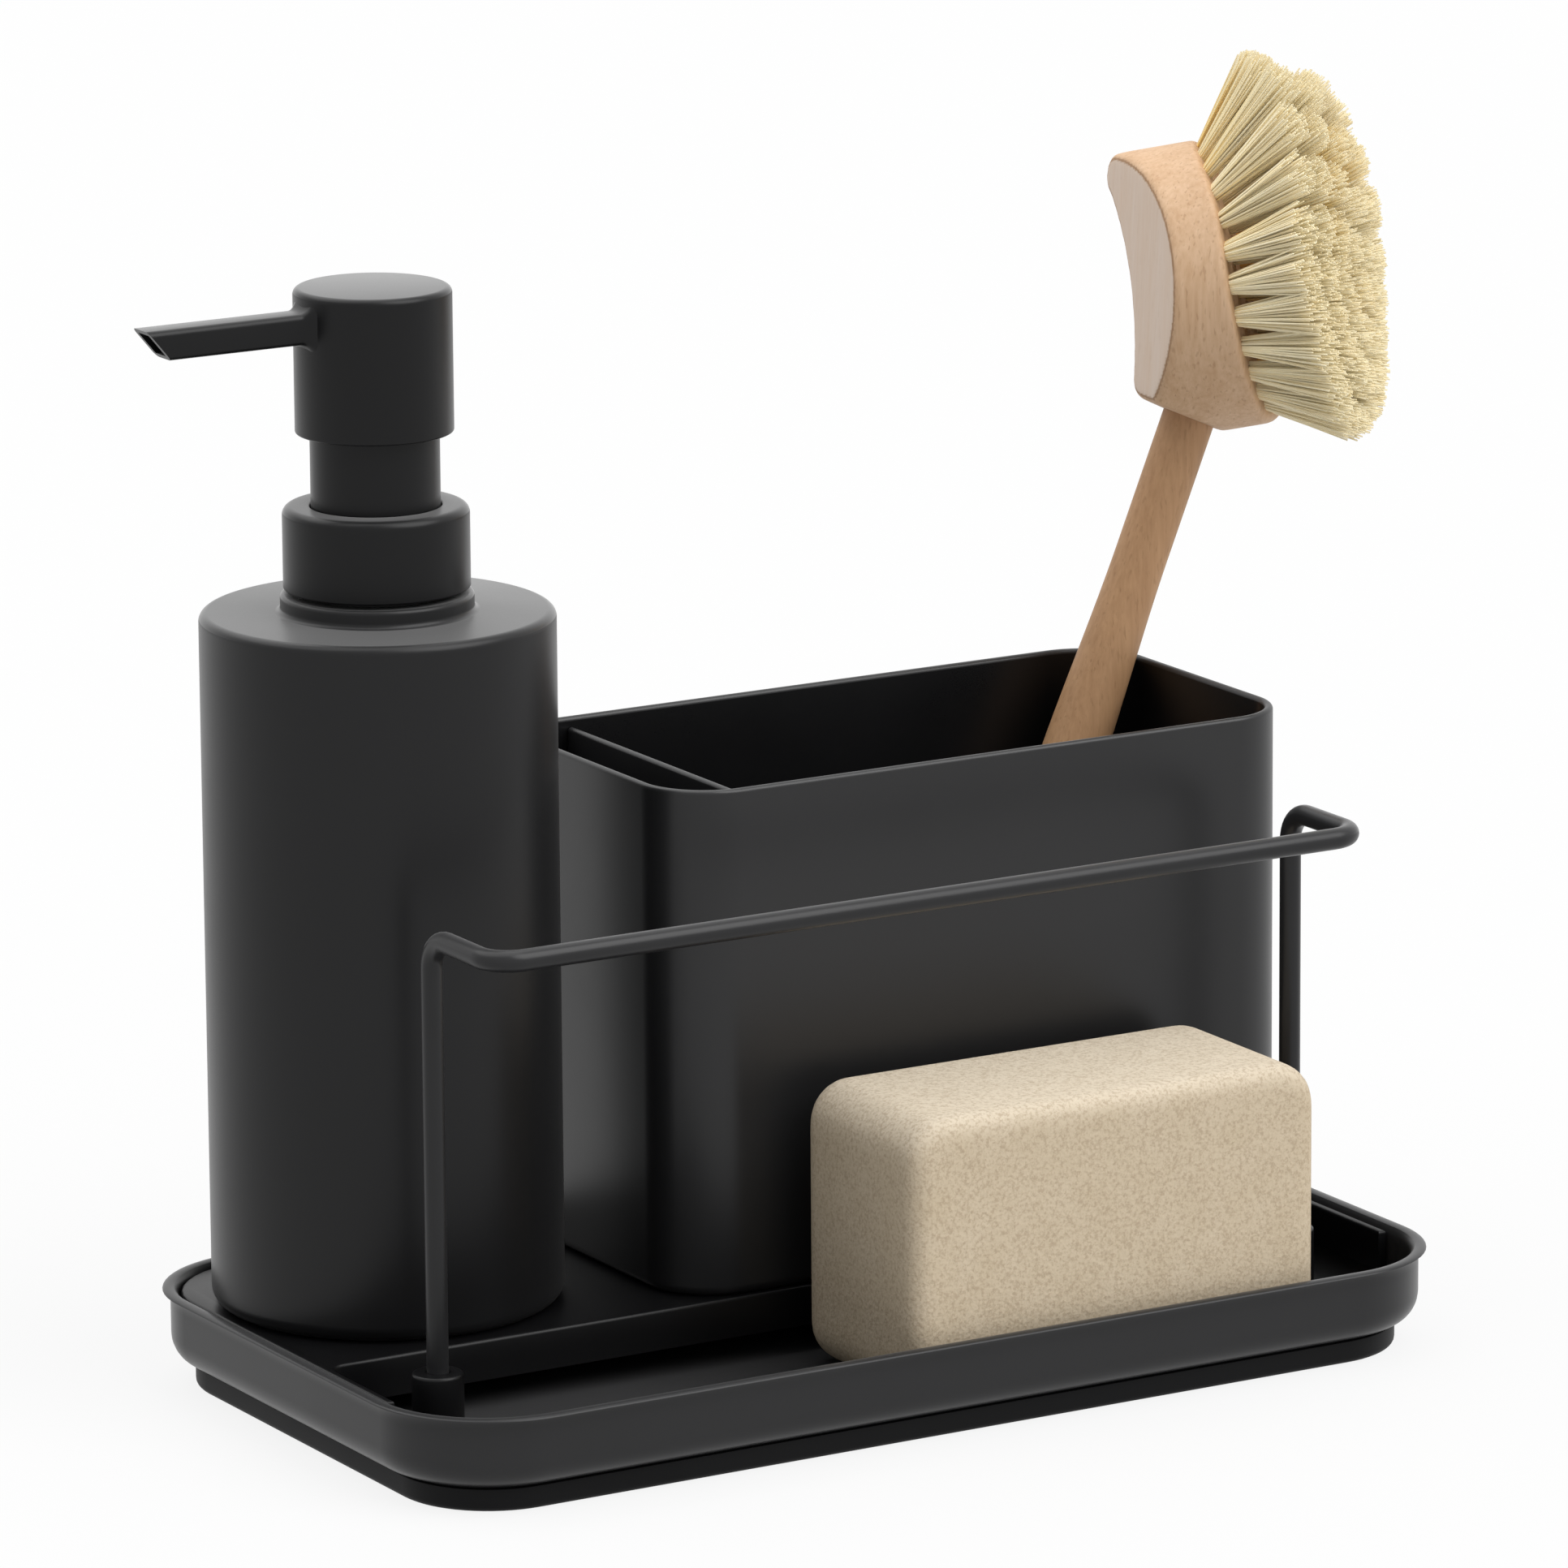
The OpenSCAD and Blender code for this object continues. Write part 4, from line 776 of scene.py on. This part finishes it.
# %% The handle
top = HANDLE_LENGTH - handle_radius
neck_radius = HANDLE_NECK / 2
swell = [Vector((handle_radius - (handle_radius - neck_radius) * (3 - 2 * t) * t * t, top * (0.5 + 0.32 * t)))
         for t in (k / 16 for k in range(17))]
handle_outline = ellipse((0, 0), handle_radius, handle_radius, -90, 0, 16) + swell
handle_outline += [Vector((neck_radius, top + BLOCK_LENGTH / 5)), Vector((0, top + BLOCK_LENGTH / 5))]
handle_mesh = turned(handle_outline, 64)
bmesh.ops.transform(handle_mesh, matrix=stand, verts=handle_mesh.verts[:])
handle_piece = finished("handle", handle_mesh, "brush", handle_wood, ["brush_handle"])

# %% [markdown]
# The head is a round block, cut like a wedge of wood: a crowned face that carries the bristles, a
# finger scoop in the back, a horn above it and two slanted facets. It starts as a side view that is
# extruded, planes trim its round outline and facets, and a remesh with a little smoothing sands its
# edges.

# %% The side view of the brush's head
CROWN_RISE, CROWN_FALL, CROWN_FOOT_FALL = BLOCK_LENGTH * 0.06, 7.1, 1.0
HORN, HORN_OUT, HEEL = 5.2, 0.7, 3.5
half_length = BLOCK_LENGTH / 2
back_x = CROWN - BLOCK_THICK
scoop_half, scoop_z = BLOCK_LENGTH * 0.33, BLOCK_LENGTH * 0.028
scoop_radius = (scoop_half ** 2 + SCOOP ** 2) / (2 * SCOOP)
scoop_turn = degrees(asin(scoop_half / scoop_radius))


def crown_x(z):
    """The face of the head, which falls away more towards its top than towards the handle."""
    fall, span = (CROWN_FALL, half_length - CROWN_RISE) if z > CROWN_RISE else (CROWN_FOOT_FALL, half_length + CROWN_RISE)
    return CROWN - fall * ((z - CROWN_RISE) / span) ** 2


side_view = [Vector((crown_x(half_length * k / 14), half_length * k / 14)) for k in range(-14, 15)]
side_view += ellipse((back_x - SCOOP - HORN_OUT + HORN, half_length - HORN), HORN, HORN, 90, 195, 10)
side_view += ellipse((back_x - scoop_radius, scoop_z), scoop_radius, scoop_radius, scoop_turn, -scoop_turn, 16)
side_view += ellipse((back_x - SCOOP + HEEL, scoop_z - scoop_half - HEEL / 4), HEEL, HEEL, 190, 240, 5)
side_view += [Vector((back_x + BLOCK_LENGTH * 0.2, -half_length))]

# %% The head of the brush
block_mesh = bmesh.new()
face = block_mesh.faces.new([block_mesh.verts.new((p[0], -BLOCK_LENGTH / 2, p[1])) for p in side_view])
made = bmesh.ops.extrude_face_region(block_mesh, geom=[face])["geom"]
bmesh.ops.translate(block_mesh, vec=(0, BLOCK_LENGTH, 0), verts=[g for g in made if isinstance(g, bmesh.types.BMVert)])


def trim(bm, point, away):
    """Cuts off what lies beyond a plane and closes the cut."""
    cut = bmesh.ops.bisect_plane(bm, geom=everything(bm), dist=0.0001, plane_co=point, plane_no=away, clear_outer=True)
    bmesh.ops.holes_fill(bm, edges=[e for e in edges_in(cut["geom_cut"]) if e.is_valid], sides=0)


ROUND_CUTS = 72
for k in range(ROUND_CUTS):
    away = Vector((0, cos(2 * pi * k / ROUND_CUTS), sin(2 * pi * k / ROUND_CUTS)))
    trim(block_mesh, away * BLOCK_LENGTH / 2, away)
FACET_BACK, FACET_SLOPE, FACET_PITCH = 9.5, radians(35.4), radians(3.4)
facet_ways = []
for side in (-1, 1):
    away = Matrix.Rotation(FACET_PITCH, 3, "Y") @ Matrix.Rotation(-side * FACET_SLOPE, 3, "Z") @ Vector((-1, 0, 0))
    trim(block_mesh, Vector((CROWN - FACET_BACK, side * BLOCK_LENGTH / 2, 0)), away)
    facet_ways.append(away)

SAND_VOXEL = 0.55


def sanded(bm, voxel, passes):
    """Rebuilds a block as a fine even mesh and smooths its edges, as sanding does."""
    bmesh.ops.triangulate(bm, faces=bm.faces[:])
    mesh = bpy.data.meshes.new("rough")
    bm.to_mesh(mesh)
    bm.free()
    rough = bpy.data.objects.new("rough", mesh)
    bpy.context.scene.collection.objects.link(rough)
    grid = rough.modifiers.new("grid", "REMESH")
    grid.mode, grid.voxel_size = "VOXEL", voxel
    fine = bmesh.new()
    fine.from_object(rough, bpy.context.evaluated_depsgraph_get())
    bpy.data.objects.remove(rough)
    for _ in range(passes):
        bmesh.ops.smooth_vert(fine, verts=fine.verts[:], factor=0.5, use_axis_x=True, use_axis_y=True,
                              use_axis_z=True)
    return fine


block_mesh = sanded(block_mesh, SAND_VOXEL, 9)
bmesh.ops.recalc_face_normals(block_mesh, faces=block_mesh.faces[:])
# The facet mask, which the finish uses for fewer flecks, a painted sheen and a painted edge shade.
planed = block_mesh.verts.layers.float.new("planed")
for vert in block_mesh.verts:
    vert[planed] = max(0.0, min(1.0, (max(vert.normal.dot(away) for away in facet_ways) - 0.9) / 0.08))
bmesh.ops.transform(block_mesh, matrix=tilt, verts=block_mesh.verts[:])
block_piece = finished("brush_block", block_mesh, "brush", block_wood, ["brush_head"], sharp=180)

# %% [markdown]
# The bristles are plant fibre. Each tuft is a bundle of stiff fibres folded into a drilled hole, so
# the tufts are tight at the wood and open towards the trimmed ends, and the whole field fans out.
# One curve object holds every fibre as its own spline, thinner at the tip and slightly bent.

# %% Where the tufts stand and how they lean
BRISTLE_LENGTH, TUFT_RINGS, FIBRE, FIBRES_IN_TUFT = 22.6, 4, 0.36, 132
FAN_LEAN, FAN_ALONG, FAN_ACROSS, SIDE_TRIM = 2, 21, 25, 0.14
LENGTH_PLACES, LENGTH_SHARES = [-1, -0.7, 0, 0.75, 1], [0.8, 0.94, 1, 1.18, 0.93]
field_radius, field_rise = BLOCK_LENGTH * 0.442, BLOCK_LENGTH * 0.01
tuft_pitch = field_radius / TUFT_RINGS
root_spread, tip_wide, tip_deep = tuft_pitch * 0.27, tuft_pitch * 0.82, tuft_pitch * 0.6
chance = np.random.default_rng(7)


def tuft_places():
    """One tuft in the middle and rings of tufts round it, as such heads are drilled."""
    yield 0, field_rise
    for ring in range(1, TUFT_RINGS + 1):
        count = round(2 * pi * ring)
        for k in range(1, count + 1):
            turn = 2 * pi * (k + ring / 2) / count
            yield ring * tuft_pitch * sin(turn), ring * tuft_pitch * cos(turn) + field_rise


def tuft(y, z):
    """The direction and the length of the tuft at a place on the face."""
    slope = degrees(atan2(crown_x(z - 0.1) - crown_x(z + 0.1), 0.2))
    rise = radians(FAN_LEAN + slope + FAN_ALONG * z / field_radius)
    swing = radians(FAN_ACROSS * y / field_radius)
    share = float(np.interp(z / field_radius, LENGTH_PLACES, LENGTH_SHARES)) * (1 - SIDE_TRIM * (y / field_radius) ** 2)
    return Vector((cos(rise) * cos(swing), cos(rise) * sin(swing), sin(rise))), BRISTLE_LENGTH * share


# %% The fibres
FIBRE_POINTS = 3


def fibre(curve, root, tip, sag):
    line = curve.splines.new("POLY")
    line.points.add(FIBRE_POINTS - 1)
    for k, point in enumerate(line.points):
        t = k / (FIBRE_POINTS - 1)
        place = root.lerp(tip, t) + sag * (t * t)
        point.co = (*(tilt @ place * MM), 1)
        point.radius = 1 - 0.2 * t


curve = bpy.data.curves.new("bristle_field", "CURVE")
curve.dimensions = "3D"
curve.bevel_depth, curve.bevel_resolution = FIBRE / 2 * MM, 0
curve.use_fill_caps = True
tints, feet, ends = [], [], []
for y, z in tuft_places():
    away, length = tuft(y, z)
    inner = sqrt(y ** 2 + (z - field_rise) ** 2) < 0.9 * field_radius
    across = away.cross(Vector((0, y, z - field_rise + 0.01))).normalized()
    over = across.cross(away)
    for _ in range(FIBRES_IN_TUFT):
        spot, turn = sqrt(chance.random()), 2 * pi * chance.random()
        aside = across * cos(turn) * tip_wide + over * sin(turn) * tip_deep
        within = (across * cos(turn) + over * sin(turn)) * spot * root_spread
        foot_y, foot_z = y + within.y, z + within.z
        root = Vector((crown_x(foot_z) - 0.8, foot_y, foot_z))
        tip = Vector((crown_x(z), y, z)) + away * length * (1 - 0.07 * spot ** 2 - 0.05 * abs(chance.standard_normal()))
        tip += aside * spot
        fibre(curve, root, tip, aside * chance.standard_normal() * 0.05)
        feet.append(tilt @ root * MM)
        # Inner tufts stay darker towards the root for longer: painted shade between the tufts.
        ends.append(((tip - root).length * MM, 1.5 if inner else 0.75))
        tints.append(chance.random())
print("tufts:", len(list(tuft_places())), "fibres:", len(curve.splines))

# %% [markdown]
# The fibre's colour runs from a dark ochre root to a pale cut end, and each fibre is a little lighter
# or darker than the next. The ochre is the fibre's own; its darkening towards the root is painted shade for where
# little light gets in between the tufts, kept longer on the inner tufts, and a faint ochre glow near the roots is
# painted light for light that shines through the fibres. The place along each fibre and its lightness are kept in
# attributes of the mesh, because the fibres point in all directions and no coordinate runs along them.

# %% The bristle field
strung = bpy.data.objects.new("strung", curve)
bpy.context.scene.collection.objects.link(strung)
strands = bpy.data.meshes.new_from_object(strung.evaluated_get(bpy.context.evaluated_depsgraph_get()))
bpy.data.objects.remove(strung)
for name in ("along", "tint"):
    strands.attributes.new(name, "FLOAT", "POINT")
in_fibre = len(strands.vertices) // len(tints)
along, tint = [], []
for i, vert in enumerate(strands.vertices):
    length, root_shade_paling = ends[i // in_fibre]
    along.append(min(1, (vert.co - feet[i // in_fibre]).length / length) ** root_shade_paling)
    tint.append(tints[i // in_fibre])
strands.attributes["along"].data.foreach_set("value", along)
strands.attributes["tint"].data.foreach_set("value", tint)
print("corners in a fibre:", in_fibre)


def fibre_finish():
    hair = Finish("bristle_fibre", 0.6, Specular_IOR_Level=0.06, Emission_Strength=0.17)
    along = hair.node("Attribute", {"attribute_name": "along"}, out="Fac")
    tint = hair.node("Attribute", {"attribute_name": "tint"}, out="Fac")
    # Painted shade: the colour darkens towards the root, on top of the fibre's own ochre.
    length = hair.node("ValToRGB", {"stops": [(0.05, colour("#a8681f")), (0.25, colour("#e0a642")), (0.55, colour("#f2cc74")),
                                              (0.85, colour("#fbe9b8")), (1.0, colour("#fbf2d4"))]}, along)
    # Painted light: a faint ochre glow near the roots, for light shining through the fibres.
    painted_root_glow = hair.node("ValToRGB", {"stops": [(0.0, colour("#c8945a")), (0.4, colour("#80603a")),
                                            (0.75, colour("#000000"))]}, along)
    hair.set(Base_Color=hair.blend(tint * 0.28, length, colour("#e8c778")), Emission_Color=painted_root_glow)
    return hair.material


field = bmesh.new()
field.from_mesh(strands)
bmesh.ops.scale(field, vec=(1 / MM,) * 3, verts=field.verts[:])
bristle_piece = finished("bristle_field", field, "brush", fibre_finish(), ["bristles"])

# %% [markdown]
# The sponge is a cut block of fine foam. Its broad corners are round, and its long edges are only
# softly broken. It isn't upholstered, so no cloth is simulated: the block is bevelled, rebuilt as an
# even mesh and smoothed a little, and its open cells are in the finish.

# %% The foam's finish


def foam_finish():
    sponge = Finish("sponge_foam", 0.95, Specular_IOR_Level=0.15)
    where = sponge.place()
    cells = sponge.node("TexVoronoi", {"feature": "F1"}, out="Distance", Vector=where, Scale=1 / 0.7, Randomness=1.0)
    grain = sponge.noise(where, 0.75, detail=4, roughness=0.75)
    cloud = sponge.noise(where, 7, detail=3)
    specks = sponge.node("ValToRGB", {"stops": [(0.46, (0, 0, 0, 1)), (0.62, (1, 1, 1, 1))]}, grain)
    upward = sponge.node("SeparateXYZ", {}, sponge.node("NewGeometry", out="Normal"), out="Z")
    front = sponge.blend(cloud, colour("#c9baa3"), colour("#beae94"))
    # Painted light: faces that point up are painted paler, as if lit from above.
    base = sponge.blend(upward * (upward > 0) * 0.36, front, colour("#e0d8c9"))
    sponge.set(Base_Color=sponge.blend(specks * 0.5, base, colour("#9a866e")))
    sponge.bump(grain * 0.6 + cells * 0.5, 0.13)
    return sponge.material


# %% The sponge
FOAM_CORNER, FOAM_EDGE = 7.5, 3.5
foam_outline = rounded([
    (foam.high.x, foam.high.z, FOAM_CORNER), (foam.low.x, foam.high.z, FOAM_CORNER),
    (foam.low.x, foam.low.z, FOAM_CORNER), (foam.high.x, foam.low.z, FOAM_CORNER)], steps=8)
foam_mesh = bmesh.new()
face = foam_mesh.faces.new([foam_mesh.verts.new((p[0], foam.low.y, p[1])) for p in foam_outline])
made = bmesh.ops.extrude_face_region(foam_mesh, geom=[face])["geom"]
bmesh.ops.translate(foam_mesh, vec=(0, foam.size.y, 0), verts=[g for g in made if isinstance(g, bmesh.types.BMVert)])
ends = [e for e in foam_mesh.edges if abs(e.verts[0].co.y - e.verts[1].co.y) < 0.001]
soften(foam_mesh, ends, FOAM_EDGE, 5)
foam_mesh = sanded(foam_mesh, 1.0, 2)
foam_piece = finished("foam_block", foam_mesh, "sponge", foam_finish(), ["sponge"], sharp=180)

# %% [markdown]
# The pieces inside the pump keep their CAD meshes, which already have the right shape. They only
# need their finishes: natural plastic, grey rubber, and spring steel.

# %% Finishes of the inner pieces


def plain(name, code, roughness, metallic=0.0, size=6.0):
    stuff = Finish(name, roughness, Metallic=metallic)
    where = stuff.place()
    cloud = stuff.noise(where, size, detail=3)
    lighter = tuple(min(1, v * 1.15) for v in colour(code)[:3]) + (1,)
    stuff.set(Base_Color=stuff.blend(cloud, colour(code), lighter), Roughness=cloud * 0.12 + (roughness - 0.06))
    stuff.bump(stuff.noise(where, 0.4, detail=2), 0.004)
    return stuff.material


natural = plain("natural_plastic", "#d9dcdc", 0.35)
rubber = plain("grip_rubber", "#171717", 0.8, size=2)
grey_seal = plain("grey_seal", "#8f9394", 0.7)
steel = plain("spring_steel", "#b4b6ba", 0.28, metallic=1.0)
dark_plastic = plain("dark_plastic", "#2c2d2e", 0.5)
INNER = {"pump_cylinder": natural, "dip_tube": natural, "piston_seal": natural, "pump_stem": natural,
         "grip_pads": rubber, "neck_gasket": grey_seal, "check_ball": steel, "return_spring": steel,
         "collar_nut": dark_plastic, "head_core": dark_plastic}
for name, finish in INNER.items():
    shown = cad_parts[name]
    shown.data.materials.clear()
    shown.data.materials.append(finish)
print("inner pieces:", ", ".join(INNER))

# %% [markdown]
# The floor is white and keeps the object's soft shadow. For camera rays it also glows a little, so
# that it meets the white backdrop without a line.

# %% The floor
FLOOR_SIZE, FLOOR_GLOW = 6, 0.86
floor_mesh = bmesh.new()
bmesh.ops.create_grid(floor_mesh, x_segments=1, y_segments=1, size=FLOOR_SIZE / 2)
floor_data = bpy.data.meshes.new("floor")
floor_mesh.to_mesh(floor_data)
floor_mesh.free()
floor = bpy.data.objects.new("floor", floor_data)
bpy.context.scene.collection.objects.link(floor)
ground = Finish("floor_white", 0.9, Specular_IOR_Level=0.0)
ground.set(Base_Color=(0.6, 0.6, 0.6, 1))
seen_rays = ground.node("LightPath", out="Is Camera Ray")
for kind in ("Is Glossy Ray", "Is Transmission Ray"):
    seen_rays = ground.node("Math", {"operation": "MAXIMUM"}, seen_rays, ground.node("LightPath", out=kind))
glow = ground.node("Emission", {}, (1, 1, 1, 1), 1.0)
mixed = ground.node("MixShader", {}, seen_rays * FLOOR_GLOW, Flow(ground, ground.shader.outputs[0]), glow)
ground.tree.links.new(mixed.socket, ground.tree.nodes["Material Output"].inputs["Surface"])
floor_data.materials.append(ground.material)
